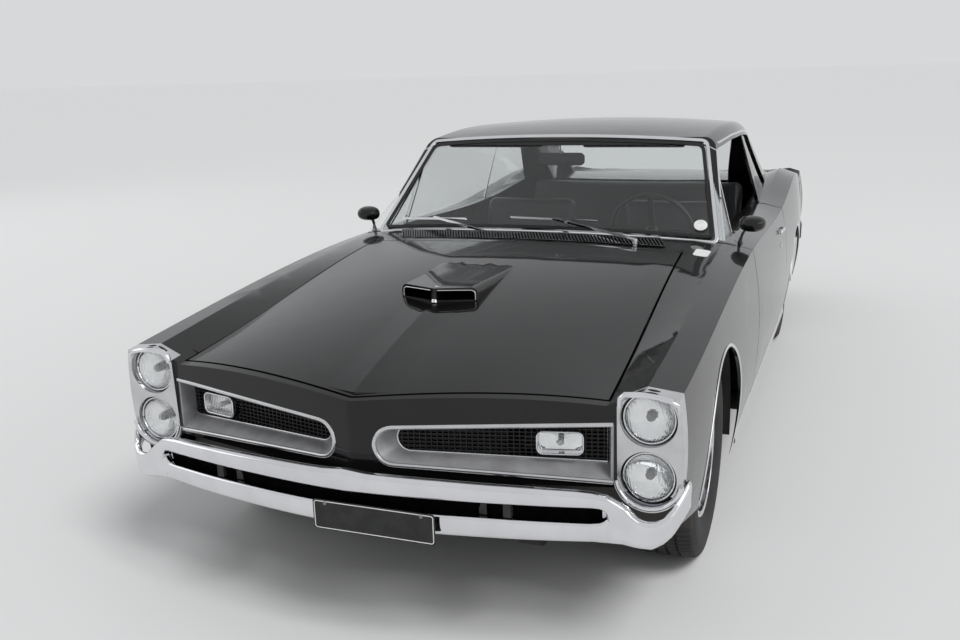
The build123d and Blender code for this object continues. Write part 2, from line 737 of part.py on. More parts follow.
# Deep grille surrounds
with BuildPart() as grille_surrounds:
    extrude(grille_shape(GRILLE_WINDOW, GRILLE_LIP), amount=-(GRILLE_BACK - GRILLE_LIP))
    loft([grille_shape(GRILLE_MOUTH, GRILLE_LIP), grille_shape(GRILLE_THROAT, MESH_FRONT)], mode=Mode.SUBTRACT)
    extrude(grille_shape(GRILLE_THROAT, MESH_FRONT), amount=-NOSE_DEPTH, mode=Mode.SUBTRACT)
    add(lamp_pod.part, mode=Mode.SUBTRACT)
    mirror(about=Plane.XZ)
grille_surrounds.part.label = "grille_surrounds"
export_step(grille_surrounds.part, "parts/grille_surrounds.step")

# Egg-crate grille meshes
with BuildPart() as mesh_bars:
    with BuildSketch(grille_plane(GRILLE_BACK)):
        with Locations((MESH_MID_X, MESH_MID_Z)):
            with GridLocations(0, MESH_ROW_PITCH, 1, MESH_ROWS):
                Rectangle(700, MESH_BAR)
            with GridLocations(MESH_COLUMN_PITCH, 0, MESH_COLUMNS, 1):
                Rectangle(MESH_BAR, 200)
    extrude(amount=GRILLE_BACK - MESH_FRONT)

with BuildPart() as grille_mesh:
    extrude(grille_shape(GRILLE_THROAT, GRILLE_BACK), amount=GRILLE_BACK - MESH_FRONT)
    add(mesh_bars.part, mode=Mode.INTERSECT)
    add(lamp_pod.part, mode=Mode.SUBTRACT)
    mirror(about=Plane.XZ)
grille_mesh.part.label = "grille_mesh"
export_step(grille_mesh.part, "parts/grille_mesh.step")

# Headlamp bezels: stacked bowls under one brow
with BuildPart() as headlamp_bezels:
    add(body_outer.part)
    with BuildSketch(Plane.XZ.offset(-GRILLE_END)) as bezel_side:
        with BuildLine():
            Polyline(
                (FENDER_FRONT, BEZEL_LOW),
                (BEZEL_FRONT_LOW, BEZEL_LOW),
                (BEZEL_FRONT_HIGH, BEZEL_HIGH),
                (FENDER_FRONT, BEZEL_HIGH),
                close=True,
            )
        make_face()
    extrude(bezel_side.sketch, amount=-(1000 - GRILLE_END), mode=Mode.INTERSECT)
    for lamp_z in LAMP_HEIGHTS:
        with BuildSketch(Plane.YZ.offset(LAMP_SEAT)) as bowl_back:
            with Locations((LAMP_Y, lamp_z)):
                Circle(LAMP_R)
        with BuildSketch(Plane.YZ.offset(LAMP_SEAT + BOWL_DEPTH)) as bowl_front:
            with Locations((LAMP_Y, lamp_z)):
                Circle(BOWL_R)
        loft([bowl_back.sketch, bowl_front.sketch], mode=Mode.SUBTRACT)
    mirror(about=Plane.XZ)
headlamp_bezels.part.label = "headlamp_bezels"
export_step(headlamp_bezels.part, "parts/headlamp_bezels.step")

# Sealed-beam headlamps and the two parking lamps
with BuildPart() as front_lamps:
    for lamp_z in LAMP_HEIGHTS:
        with BuildSketch(Plane.XZ.offset(-LAMP_Y)) as lens:
            with BuildLine():
                Polyline(
                    (LAMP_SEAT + LENS_RIM, lamp_z + LAMP_R),
                    (LAMP_SEAT, lamp_z + LAMP_R),
                    (LAMP_SEAT, lamp_z),
                    (LAMP_SEAT + LENS_CROWN, lamp_z),
                )
                ThreePointArc(
                    (LAMP_SEAT + LENS_CROWN, lamp_z),
                    (LAMP_SEAT + LENS_RIM + (LENS_CROWN - LENS_RIM) * 0.76, lamp_z + LAMP_R / 2),
                    (LAMP_SEAT + LENS_RIM, lamp_z + LAMP_R),
                )
            make_face()
        revolve(lens.sketch, axis=Axis((0, LAMP_Y, lamp_z), (1, 0, 0)))
    add(lamp_pod.part)
    mirror(about=Plane.XZ)
front_lamps.part.label = "front_lamps"
export_step(front_lamps.part, "parts/front_lamps.step")


def bumper_crescent(row, low, inset=0.0):
    """Plan outline of a bumper: a shallow V bow whose ends wrap round the corners."""
    sign = 1 if row.x_tip > 0 else -1
    with BuildSketch(Plane.XY.offset(low)) as outline:
        with BuildLine():
            for side in (1, -1):
                corner = (row.x_corner - sign * inset, side * (row.y_corner - inset * 0.3))
                ThreePointArc((row.x_tip - sign * inset, 0), (row.x_mid - sign * inset, side * row.y_mid), corner)
                ThreePointArc(
                    corner,
                    (row.x_turn - sign * inset * 0.7, side * (row.y_turn - inset * 0.7)),
                    (row.x_end, side * (row.y_end - inset)),
                )
            Line((row.x_end, row.y_end - inset), (row.x_end, inset - row.y_end))
        make_face()
    return outline.sketch


def front_prism(points, x_from, x_to):
    """Outline drawn in front view as Y and Z points, made solid along the car."""
    with BuildPart() as prism:
        with BuildSketch(Plane.YZ.offset(x_from)):
            with BuildLine():
                Polyline(*points, close=True)
            make_face()
        extrude(amount=x_to - x_from)
    return prism.part


def whole_outline(top, foot):
    """Closed front view from the top and bottom edges of its left half."""
    left_top = [(-y, z) for y, z in top[:0:-1]]
    left_foot = [(-y, z) for y, z in foot[1:]]
    return left_top + top + foot[::-1] + left_foot


def bumper_irons(frame_end, rail_y, heights, sign):
    """Two cranked brackets that carry a bumper from the ends of the frame rails."""
    foot, arm_low, arm_high = heights
    irons = []
    for side in (1, -1):
        ys = sorted((side * (rail_y - IRON_HALF), side * (rail_y + IRON_HALF)))
        upright = sorted((frame_end, frame_end + sign * IRON_THICK))
        arm = sorted((frame_end, frame_end + sign * IRON_REACH))
        irons.append(box_between((upright[0], ys[0], foot), (upright[1], ys[1], arm_high)))
        irons.append(box_between((arm[0], ys[0], arm_low), (arm[1], ys[1], arm_high)))
    return irons[0] + irons[1] + irons[2] + irons[3]


# Front bumper: two bars joined at the ends, with a long slot between them
with BuildPart() as front_bumper:
    extrude(bumper_crescent(BUMPER_PLAN_FRONT, BUMPER_CUT_LOW), amount=300)
    add(front_prism(whole_outline(BUMPER_TOP_FRONT, BUMPER_FOOT_FRONT), 2200, 2700), mode=Mode.INTERSECT)
    extrude(bumper_crescent(BUMPER_PLAN_FRONT, UNDERSIDE, BUMPER_WALL), amount=600, mode=Mode.SUBTRACT)
    add(front_prism(BUMPER_SLOT, 2200, 2700), mode=Mode.SUBTRACT)
    irons = bumper_irons(FRAME_FRONT, RAIL_LINE[0][1], IRON_FRONT_Z, 1)
    add(irons & extrude(bumper_crescent(BUMPER_PLAN_FRONT, UNDERSIDE, BUMPER_WALL / 2), amount=600, mode=Mode.PRIVATE))
front_bumper.part.label = "front_bumper"
export_step(front_bumper.part, "parts/front_bumper.step")

# Rear bumper
with BuildPart() as rear_bumper:
    extrude(bumper_crescent(BUMPER_PLAN_REAR, BUMPER_CUT_LOW), amount=300)
    add(front_prism(whole_outline(BUMPER_TOP_REAR, BUMPER_FOOT_REAR), -2700, -2300), mode=Mode.INTERSECT)
    extrude(bumper_crescent(BUMPER_PLAN_REAR, UNDERSIDE, BUMPER_WALL), amount=600, mode=Mode.SUBTRACT)
    irons = bumper_irons(FRAME_REAR, RAIL_LINE[-1][1], IRON_REAR_Z, -1)
    add(irons & extrude(bumper_crescent(BUMPER_PLAN_REAR, UNDERSIDE, BUMPER_WALL / 2), amount=600, mode=Mode.PRIVATE))
rear_bumper.part.label = "rear_bumper"
export_step(rear_bumper.part, "parts/rear_bumper.step")


def pillar_x(z):
    """Rear face of the windshield pillar in side view."""
    share = (z - SCREEN_LOW_Z) / (SCREEN_HIGH_Z - SCREEN_LOW_Z)
    return SCREEN_LOW_SIDE[0] + share * (SCREEN_HIGH_SIDE[0] - SCREEN_LOW_SIDE[0]) - PILLAR_DEPTH


def window_sheet(inner, outer, outline):
    """Sheet that follows the greenhouse between two depths under its surface, cut to a side outline."""
    rows = ROOF_STATIONS[:6]
    with BuildPart() as sheet:
        loft([roof_section(row, outer, outer, outer, 0) for row in rows])
        loft([roof_section(row, inner, inner, inner, CAVITY_DROP) for row in rows], mode=Mode.SUBTRACT)
        extrude(outline, amount=-OUTSIDE, mode=Mode.INTERSECT)
        add(body_outer.part, mode=Mode.SUBTRACT)
    return sheet.part


def side_outline(points, inset=0.0, from_y=WINDOW_FROM):
    """Side view outline as X and Z points, moved in by an inset."""
    with BuildSketch(Plane.XZ.offset(-from_y)) as outline:
        with BuildLine():
            Polyline(*points, close=True)
        make_face()
        if inset:
            offset(amount=-inset, kind=Kind.INTERSECTION, mode=Mode.REPLACE)
    return outline.sketch


rail_points = [(row.x, row.z_rail - RAIL_DROP) for row in ROOF_STATIONS[2:4]]
window_top_z = ROOF_STATIONS[1].z_rail - RAIL_DROP
side_opening = [
    (pillar_x(BELT_CUT), BELT_CUT),
    (pillar_x(window_top_z), window_top_z),
    *rail_points,
    SAIL_TOP,
    SAIL_FOOT,
    (SAIL_FOOT[0] - (SAIL_FOOT[1] - BELT_CUT), BELT_CUT),
]

# Roof with the windshield pillars and the sail panels, all from one shell
with BuildPart() as roof_panel:
    add(roof_outer.part)
    add(roof_inner.part, mode=Mode.SUBTRACT)
    add(ahead_of_screen(), mode=Mode.SUBTRACT)
    add(behind_backlight(), mode=Mode.SUBTRACT)
    window_hole = extrude(side_outline(side_opening), amount=-OUTSIDE, mode=Mode.PRIVATE)
    add(pair(window_hole), mode=Mode.SUBTRACT)
    add(body_outer.part, mode=Mode.SUBTRACT)
roof_panel.part.label = "roof_panel"
export_step(roof_panel.part, "parts/roof_panel.step")

# Windshield
with BuildPart() as windshield:
    add(ahead_of_screen(-SCREEN_SETBACK - GLASS * SCREEN_SLOPE))
    add(ahead_of_screen(-SCREEN_SETBACK), mode=Mode.SUBTRACT)
    add(roof_inner.part, mode=Mode.INTERSECT)
    add(body_outer.part, mode=Mode.SUBTRACT)
windshield.part.label = "windshield"
export_step(windshield.part, "parts/windshield.step")

# Rear glass between the sails
with BuildPart() as rear_glass:
    add(behind_backlight(GLASS * SCREEN_SLOPE))
    add(behind_backlight(), mode=Mode.SUBTRACT)
    add(roof_inner.part, mode=Mode.INTERSECT)
    add(body_outer.part, mode=Mode.SUBTRACT)
rear_glass.part.label = "rear_glass"
export_step(rear_glass.part, "parts/rear_glass.step")

# Doors: the whole wall thickness, with the rear edge slanted in plan so that it swings clear
with BuildPart() as door_left:
    add(body_outer.part)
    door_zone = plan_prism(
        [
            (DOOR_FRONT, DOOR_INNER),
            (DOOR_FRONT, OUTSIDE),
            (DOOR_REAR, OUTSIDE),
            (DOOR_REAR, DOOR_EDGE_Y),
            (DOOR_REAR + DOOR_REAR_SLANT, DOOR_INNER),
        ],
        DOOR_BOTTOM,
        OVERHEAD,
    )
    add(door_zone, mode=Mode.INTERSECT)
door_left.part.label = "door_left"
export_step(door_left.part, "parts/door_left.step")

with BuildPart() as door_right:
    add(mirror(door_left.part, about=Plane.XZ, mode=Mode.PRIVATE))
door_right.part.label = "door_right"
export_step(door_right.part, "parts/door_right.step")

# Vent windows: a chrome frame with its own small pane, ahead of the drop glass
vent_corner_z = SCREEN_LOW_Z + (pillar_x(SCREEN_LOW_Z) - PANE_TOP_GAP - VENT_TOP) / SCREEN_SIDE_LEAN
vent_points = [
    (pillar_x(BELT_CUT) - PANE_TOP_GAP, BELT_CUT),
    (VENT_TOP, vent_corner_z),
    (VENT_FOOT, BELT_CUT),
]
with BuildPart() as vent_frame_left:
    add(window_sheet(VENT_INNER, VENT_OUTER, side_outline(vent_points)))
    extrude(side_outline(vent_points, VENT_BAR), amount=-OUTSIDE, mode=Mode.SUBTRACT)
vent_frame_left.part.label = "vent_frame_left"
export_step(vent_frame_left.part, "parts/vent_frame_left.step")

with BuildPart() as vent_frame_right:
    add(mirror(vent_frame_left.part, about=Plane.XZ, mode=Mode.PRIVATE))
vent_frame_right.part.label = "vent_frame_right"
export_step(vent_frame_right.part, "parts/vent_frame_right.step")

# Door glass: the vent panes, and the drop glass that is wound up on the right only
pane_top_z = window_top_z - PANE_TOP_GAP
pane_points = [
    (VENT_FOOT - RUN_CLEARANCE, BELT_CUT),
    (VENT_TOP - RUN_CLEARANCE, vent_corner_z),
    (pillar_x(pane_top_z) - PANE_TOP_GAP, pane_top_z),
    *[(x, z - PANE_TOP_GAP) for x, z in rail_points],
    (PANE_REAR_TOP, rail_points[-1][1] - PANE_TOP_GAP - 6),
    (PANE_REAR_FOOT, BELT_CUT),
]
vent_pane = window_sheet(PANE_INSET + PANE_THICK, PANE_INSET, side_outline(vent_points, VENT_BAR))
drop_pane = window_sheet(PANE_INSET + PANE_THICK, PANE_INSET, side_outline(pane_points))
with BuildPart() as door_glass_left:
    add(vent_pane)
door_glass_left.part.label = "door_glass_left"
export_step(door_glass_left.part, "parts/door_glass_left.step")

with BuildPart() as door_glass_right:
    add(mirror(vent_pane, about=Plane.XZ, mode=Mode.PRIVATE))
    add(mirror(drop_pane, about=Plane.XZ, mode=Mode.PRIVATE))
door_glass_right.part.label = "door_glass_right"
export_step(door_glass_right.part, "parts/door_glass_right.step")

# Quarter windows
quarter_points = [
    (DOOR_REAR - PANEL_GAP - 3, BELT_CUT),
    (PANE_REAR_TOP - PANE_TOP_GAP, OVERHEAD),
    (SAIL_TOP[0] - OUTSIDE, OVERHEAD),
    (SAIL_TOP[0] - OUTSIDE, BELT_CUT),
]
with BuildPart() as quarter_glass:
    add(window_sheet(PANE_INSET + PANE_THICK, PANE_INSET, side_outline(side_opening)))
    extrude(side_outline(quarter_points), amount=-OUTSIDE, mode=Mode.INTERSECT)
    mirror(about=Plane.XZ)
quarter_glass.part.label = "quarter_glass"
export_step(quarter_glass.part, "parts/quarter_glass.step")


# Quarter panels with their thick front wall and round wheel openings
with BuildPart() as quarter_panels:
    add(body_shell.part)
    zone = plan_prism(
        [
            (DOOR_REAR - PANEL_GAP, CABIN_SIDE),
            (SHELF_FRONT, CABIN_SIDE),
            (SHELF_FRONT, DECK_HALF_FRONT + PANEL_GAP),
            (DECK_FRONT, DECK_HALF_FRONT + PANEL_GAP),
            (DECK_REAR - PANEL_GAP, DECK_HALF_REAR + PANEL_GAP),
            (DECK_REAR - PANEL_GAP, OUTSIDE),
            (DOOR_REAR - PANEL_GAP, OUTSIDE),
        ],
        UNDERSIDE,
        OVERHEAD,
    )
    add(pair(zone), mode=Mode.INTERSECT)
    wall = box_between((QUARTER_BLOCK_REAR, CABIN_SIDE, DOOR_BOTTOM), (DOOR_REAR - PANEL_GAP, OUTSIDE, OVERHEAD))
    add(body_outer.part & pair(wall))
    add(arch_cut_rear.part, mode=Mode.SUBTRACT)
quarter_panels.part.label = "quarter_panels"
export_step(quarter_panels.part, "parts/quarter_panels.step")

# Rocker panels below the doors
with BuildPart() as rocker_panels:
    add(body_outer.part)
    rocker = box_between(
        (DOOR_REAR - PANEL_GAP, CABIN_SIDE, UNDERSIDE),
        (DOOR_FRONT + PANEL_GAP, OUTSIDE, DOOR_BOTTOM - PANEL_GAP),
    )
    add(pair(rocker), mode=Mode.INTERSECT)
rocker_panels.part.label = "rocker_panels"
export_step(rocker_panels.part, "parts/rocker_panels.step")

# Deck panel: parcel shelf and the strip behind the rear glass
with BuildPart() as deck_panel:
    add(body_shell.part)
    half = DECK_HALF_FRONT + PANEL_GAP
    shelf = box_between((DECK_FRONT + PANEL_GAP, -half, DECK_LOW), (SHELF_FRONT, half, OVERHEAD))
    add(shelf, mode=Mode.INTERSECT)
deck_panel.part.label = "deck_panel"
export_step(deck_panel.part, "parts/deck_panel.step")

# Decklid
with BuildPart() as decklid:
    add(body_shell.part)
    lid_points = [
        (DECK_FRONT, DECK_HALF_FRONT),
        (DECK_REAR, DECK_HALF_REAR),
        (DECK_REAR, -DECK_HALF_REAR),
        (DECK_FRONT, -DECK_HALF_FRONT),
    ]
    add(plan_prism(lid_points, DECK_LOW, OVERHEAD), mode=Mode.INTERSECT)
decklid.part.label = "decklid"
export_step(decklid.part, "parts/decklid.step")

# Tail panel with three slits a side for the lamps
with BuildPart() as lamp_slits:
    with BuildSketch(Plane.YZ.offset(TAIL_FACE)):
        with Locations((TAIL_LAMP_Y, TAIL_LAMP_Z), (-TAIL_LAMP_Y, TAIL_LAMP_Z)):
            with GridLocations(0, TAIL_LAMP_PITCH, 1, TAIL_LAMP_ROWS):
                SlotOverall(TAIL_LAMP_WIDTH, TAIL_LAMP_HEIGHT)
    extrude(amount=TAIL_LAMP_DEPTH)

with BuildPart() as tail_panel:
    add(body_outer.part)
    tail_box = box_between((TAIL_FACE, -OUTSIDE, TAIL_BOTTOM), (DECK_REAR - PANEL_GAP, OUTSIDE, OVERHEAD))
    add(tail_box, mode=Mode.INTERSECT)
    add(lamp_slits.part, mode=Mode.SUBTRACT)
tail_panel.part.label = "tail_panel"
export_step(tail_panel.part, "parts/tail_panel.step")

with BuildPart() as tail_lamps:
    add(lamp_slits.part)
tail_lamps.part.label = "tail_lamps"
export_step(tail_lamps.part, "parts/tail_lamps.step")


def sheet_profile(points, thick, side=Side.RIGHT):
    """Side view of a folded sheet above a line of X and Z points that runs rearward, or below it."""
    with BuildSketch(Plane.XZ.offset(-OUTSIDE)) as profile:
        with BuildLine():
            line = Polyline(*points)
            offset(line, amount=thick, side=side, closed=True)
        make_face()
    return profile.sketch


# Floor pan with the firewall, folded from one sheet over the rear axle, and its tunnel
with BuildPart() as floor_pan:
    extrude(sheet_profile([(FIREWALL_X, COWL_BOTTOM), (FIREWALL_X, TOE_Z), (TOE_X, FLOOR), *FLOOR_LINE], FLOOR_SHEET),
            amount=2 * OUTSIDE)
    floor_plan = [
        (FIREWALL_X + 20, CABIN_SIDE),
        (QUARTER_BLOCK_REAR, CABIN_SIDE),
        (QUARTER_BLOCK_REAR, FLOOR_REAR_HALF),
        (WELL_FRONT, FLOOR_REAR_HALF),
        (WELL_FRONT, TRUNK_HALF),
        (DECK_REAR - PANEL_GAP, TRUNK_HALF),
    ]
    tunnel_sides = [(TUNNEL_HALF, TUNNEL_SIDE, Mode.ADD), (TUNNEL_HALF - FLOOR_SHEET, TUNNEL_INSIDE, Mode.SUBTRACT)]
    for tunnel_half, tunnel_side, mode in tunnel_sides:
        with BuildSketch(Plane.XZ.offset(-tunnel_half)):
            with BuildLine():
                Polyline(*tunnel_side, close=True)
            make_face()
        extrude(amount=2 * tunnel_half, mode=mode)
    right_plan = [(x, -y) for x, y in floor_plan[::-1]]
    add(plan_prism(floor_plan + right_plan, UNDERSIDE, OVERHEAD), mode=Mode.INTERSECT)
    add(body_inner.part, mode=Mode.INTERSECT)
floor_pan.part.label = "floor_pan"
export_step(floor_pan.part, "parts/floor_pan.step")

# Perimeter frame: rails that follow the floor's underside, joined by cross members
with BuildPart() as chassis_frame:
    frame_line = [(FRAME_FRONT, HORN_Z), (HORN_RISE[0], HORN_Z), (HORN_RISE[1], FLOOR), *FLOOR_LINE]
    extrude(sheet_profile(frame_line, RAIL_DEPTH, Side.LEFT), amount=2 * OUTSIDE)
    outer_edge = [(x, y + RAIL_WIDTH / 2) for x, y in RAIL_LINE]
    inner_edge = [(x, y - RAIL_WIDTH / 2) for x, y in RAIL_LINE[::-1]]
    frame_plan = pair(plan_prism(outer_edge + inner_edge, UNDERSIDE, OVERHEAD))
    for x, half, width in DEEP_MEMBERS:
        frame_plan += box_between((x - width / 2, -half, UNDERSIDE), (x + width / 2, half, OVERHEAD))
    add(frame_plan, mode=Mode.INTERSECT)
    upper_band = extrude(
        sheet_profile(frame_line, MEMBER_DEPTH, Side.LEFT),
        amount=2 * OUTSIDE,
        mode=Mode.PRIVATE,
    )
    for x, half, width in SHALLOW_MEMBERS:
        add(upper_band & box_between((x - width / 2, -half, UNDERSIDE), (x + width / 2, half, OVERHEAD)))
chassis_frame.part.label = "chassis_frame"
export_step(chassis_frame.part, "parts/chassis_frame.step")


def wheelhouse(axle_x, radius, inner_y, hole):
    """Half-round inner fender with its inner wall, open below and round the suspension."""
    with BuildPart() as house:
        with BuildSketch(Plane.XZ.offset(-inner_y)) as ring:
            with Locations((axle_x, TYRE_RADIUS)):
                Circle(radius + HOUSE_SHEET)
                Circle(radius, mode=Mode.SUBTRACT)
            with Locations((axle_x, FLOOR - OUTSIDE / 2)):
                Rectangle(3 * radius, OUTSIDE, mode=Mode.SUBTRACT)
        extrude(ring.sketch, amount=inner_y - HOUSE_OUTER)
        with BuildSketch(Plane.XZ.offset(-inner_y)) as wall_sketch:
            with Locations((axle_x, TYRE_RADIUS)):
                Circle(radius + HOUSE_SHEET)
            with Locations((axle_x, FLOOR - OUTSIDE / 2)):
                Rectangle(3 * radius, OUTSIDE, mode=Mode.SUBTRACT)
            with Locations((axle_x, FLOOR)):
                Rectangle(2 * hole[0], 2 * hole[1], mode=Mode.SUBTRACT)
        extrude(wall_sketch.sketch, amount=-HOUSE_SHEET)
        add(body_inner.part, mode=Mode.INTERSECT)
    return house.part


with BuildPart() as front_wheelhouses:
    add(pair(wheelhouse(AXLE_FRONT, HOUSE_R, HOUSE_INNER - HOUSE_SHEET, FRONT_HOUSE_HOLE)))
front_wheelhouses.part.label = "front_wheelhouses"
export_step(front_wheelhouses.part, "parts/front_wheelhouses.step")

with BuildPart() as rear_wheelhouses:
    add(pair(wheelhouse(AXLE_REAR, HOUSE_REAR_R, FLOOR_REAR_HALF, REAR_HOUSE_HOLE)))
rear_wheelhouses.part.label = "rear_wheelhouses"
export_step(rear_wheelhouses.part, "parts/rear_wheelhouses.step")

# Engine and gearbox as one plain block
with BuildPart() as engine:
    with BuildSketch(Plane.XZ.offset(-ENGINE_HALF)):
        with BuildLine():
            Polyline(*ENGINE_SIDE, close=True)
        make_face()
    extrude(amount=2 * ENGINE_HALF)
    add(pair(box_between((0, GEARBOX_HALF, 0), (ENGINE_REAR, OUTSIDE, OUTSIDE))), mode=Mode.SUBTRACT)
    with BuildSketch(Plane.XY.offset(FLOOR)):
        with Locations((ENGINE_FOOT_X, ENGINE_FOOT_Y), (ENGINE_FOOT_X, -ENGINE_FOOT_Y)):
            Rectangle(ENGINE_FOOT, ENGINE_FOOT)
    extrude(amount=ENGINE_FOOT * 1.5)
engine.part.label = "engine"
export_step(engine.part, "parts/engine.step")

# Radiator standing on the front cross member
with BuildPart() as radiator:
    add(box_between((RADIATOR_X, -RADIATOR_HALF, FLOOR), (RADIATOR_X + RADIATOR_DEPTH, RADIATOR_HALF, RADIATOR_TOP)))
radiator.part.label = "radiator"
export_step(radiator.part, "parts/radiator.step")

# Dashboard
with BuildPart() as dashboard:
    with BuildSketch(Plane.XZ.offset(-DASH_HALF)):
        with BuildLine():
            Polyline(*DASH_SIDE, close=True)
        make_face()
    extrude(amount=2 * DASH_HALF)
dashboard.part.label = "dashboard"
export_step(dashboard.part, "parts/dashboard.step")

# Bucket seats: cushion and reclined back in one side profile
with BuildPart() as front_seats:
    with BuildSketch(Plane.XZ.offset(-(SEAT_Y + SEAT_HALF))):
        with BuildLine():
            Polyline(*SEAT_SIDE, close=True)
        make_face()
    extrude(amount=2 * SEAT_HALF)
    mirror(about=Plane.XZ)
front_seats.part.label = "front_seats"
export_step(front_seats.part, "parts/front_seats.step")

# Rear bench
with BuildPart() as rear_seat:
    with BuildSketch(Plane.XZ.offset(-BENCH_HALF)):
        with BuildLine():
            Polyline(*BENCH_SIDE, close=True)
        make_face()
    extrude(amount=2 * BENCH_HALF)
rear_seat.part.label = "rear_seat"
export_step(rear_seat.part, "parts/rear_seat.step")

# Fuel tank under the trunk floor
with BuildPart() as fuel_tank:
    add(box_between((TANK_REAR, -TANK_HALF, TANK_LOW), (TANK_FRONT, TANK_HALF, TRUNK_FLOOR)))
    fillet(fuel_tank.edges().filter_by(Axis.Z), radius=TANK_ROUND)
fuel_tank.part.label = "fuel_tank"
export_step(fuel_tank.part, "parts/fuel_tank.step")

# Twin exhaust: pipe and muffler hung under the floor on each side
with BuildPart() as exhaust:
    with BuildSketch(Plane.YZ.offset(EXHAUST_REAR)):
        with Locations((EXHAUST_Y, EXHAUST_Z)):
            Circle(EXHAUST_R)
    extrude(amount=EXHAUST_FRONT - EXHAUST_REAR)
    with BuildSketch(Plane.YZ.offset(MUFFLER_REAR)):
        with Locations((EXHAUST_Y, EXHAUST_Z)):
            Ellipse(MUFFLER_HALF_WIDTH, MUFFLER_HALF_HEIGHT)
    extrude(amount=MUFFLER_LENGTH)
    for x in EXHAUST_HANGERS:
        add(box_between((x - 10, EXHAUST_Y - 6, EXHAUST_Z), (x + 10, EXHAUST_Y + 6, FLOOR)))
    mirror(about=Plane.XZ)
exhaust.part.label = "exhaust"
export_step(exhaust.part, "parts/exhaust.step")

# Rear axle with its differential, spindles and trailing arms
with BuildPart() as rear_axle:
    with BuildSketch(Plane.XZ) as tube:
        with Locations((AXLE_REAR, TYRE_RADIUS)):
            Circle(AXLE_TUBE_R)
    extrude(tube.sketch, amount=AXLE_TUBE_HALF, both=True)
    with BuildSketch(Plane.XZ) as stub:
        with Locations((AXLE_REAR, TYRE_RADIUS)):
            Circle(SPINDLE_R)
    extrude(stub.sketch, amount=TRACK_REAR / 2 + SPINDLE_OUT, both=True)
    with Locations((AXLE_REAR, 0, TYRE_RADIUS)):
        Sphere(DIFF_R)
    for side in (1, -1):
        for low, high in AXLE_LINKS:
            ys = sorted((side * low[1], side * high[1]))
            add(box_between((low[0], ys[0], low[2]), (high[0], ys[1], high[2])))
    add(chassis_frame.part, mode=Mode.SUBTRACT)
rear_axle.part.label = "rear_axle"
export_step(rear_axle.part, "parts/rear_axle.step")


def arm_plate(points, low, thick):
    """Flat suspension arm or lever: a plan outline with a thickness."""
    with BuildPart() as plate:
        with BuildSketch(Plane.XY.offset(low)):
            with BuildLine():
                Polyline(*points, close=True)
            make_face()
        extrude(amount=thick)
    return plate.part


kingpin_y = TRACK_FRONT / 2 - KINGPIN_OFFSET

# Front suspension: lower and upper arms with ball studs, and the spring towers
with BuildPart() as front_suspension:
    for low, inner_y in ((LOWER_ARM_Z, ARM_INNER), (UPPER_ARM_Z, TOWER_OUTER)):
        add(arm_plate(
            [
                (AXLE_FRONT + ARM_HALF_BASE, inner_y),
                (AXLE_FRONT + ARM_HALF_TIP, kingpin_y + ARM_TIP),
                (AXLE_FRONT - ARM_HALF_TIP, kingpin_y + ARM_TIP),
                (AXLE_FRONT - ARM_HALF_BASE, inner_y),
            ],
            low,
            ARM_THICK,
        ))
    with BuildSketch(Plane.XY.offset(LOWER_ARM_Z + ARM_THICK)):
        with Locations((AXLE_FRONT, kingpin_y)):
            Circle(STUD_R)
    extrude(amount=STUD_LENGTH)
    with BuildSketch(Plane.XY.offset(UPPER_ARM_Z)):
        with Locations((AXLE_FRONT, kingpin_y)):
            Circle(STUD_R)
    extrude(amount=-STUD_LENGTH)
    add(box_between(
        (AXLE_FRONT - TOWER_HALF, TOWER_INNER, FLOOR), (AXLE_FRONT + TOWER_HALF, TOWER_OUTER, TOWER_TOP)))
    with BuildSketch(Plane.XY.offset(LOWER_ARM_Z + ARM_THICK)):
        with Locations((AXLE_FRONT, SPRING_Y)):
            Circle(SPRING_R)
    extrude(amount=UPPER_ARM_Z - LOWER_ARM_Z - ARM_THICK)
    mirror(about=Plane.XZ)
front_suspension.part.label = "front_suspension"
export_step(front_suspension.part, "parts/front_suspension.step")

# Steered knuckles with their spindles and steering arms
with BuildPart() as knuckle_left:
    add(box_between(
        (AXLE_FRONT - KNUCKLE_HALF, kingpin_y - KNUCKLE_HALF, LOWER_ARM_Z + ARM_THICK + KNUCKLE_GAP),
        (AXLE_FRONT + KNUCKLE_HALF, kingpin_y + KNUCKLE_FACE, UPPER_ARM_Z - KNUCKLE_GAP)))
    with BuildSketch(Plane.XZ.offset(-kingpin_y)):
        with Locations((AXLE_FRONT, TYRE_RADIUS)):
            Circle(SPINDLE_R)
    extrude(amount=-(KINGPIN_OFFSET + SPINDLE_OUT))
    add(arm_plate(
        [
            (AXLE_FRONT, kingpin_y + LEVER_HALF),
            (AXLE_FRONT - LEVER_LENGTH - LEVER_HALF, kingpin_y + LEVER_HALF),
            (AXLE_FRONT - LEVER_LENGTH - LEVER_HALF, kingpin_y - LEVER_HALF),
            (AXLE_FRONT, kingpin_y - LEVER_HALF),
        ],
        LEVER_Z,
        LEVER_THICK,
    ))
    with BuildSketch(Plane.XY.offset(LEVER_Z + LEVER_THICK)):
        with Locations((AXLE_FRONT - LEVER_LENGTH, kingpin_y)):
            Circle(JOINT_R)
    extrude(amount=RELAY_GAP + RELAY_THICK)
    with BuildSketch(Plane.XY):
        with Locations((AXLE_FRONT, kingpin_y)):
            Circle(STUD_R + STUD_CLEARANCE)
    extrude(amount=LOWER_ARM_Z + ARM_THICK + STUD_LENGTH + KNUCKLE_GAP, mode=Mode.SUBTRACT)
    with BuildSketch(Plane.XY.offset(UPPER_ARM_Z - STUD_LENGTH - KNUCKLE_GAP)):
        with Locations((AXLE_FRONT, kingpin_y)):
            Circle(STUD_R + STUD_CLEARANCE)
    extrude(amount=OUTSIDE, mode=Mode.SUBTRACT)
knuckle_left.part.label = "knuckle_left"
export_step(knuckle_left.part, "parts/knuckle_left.step")

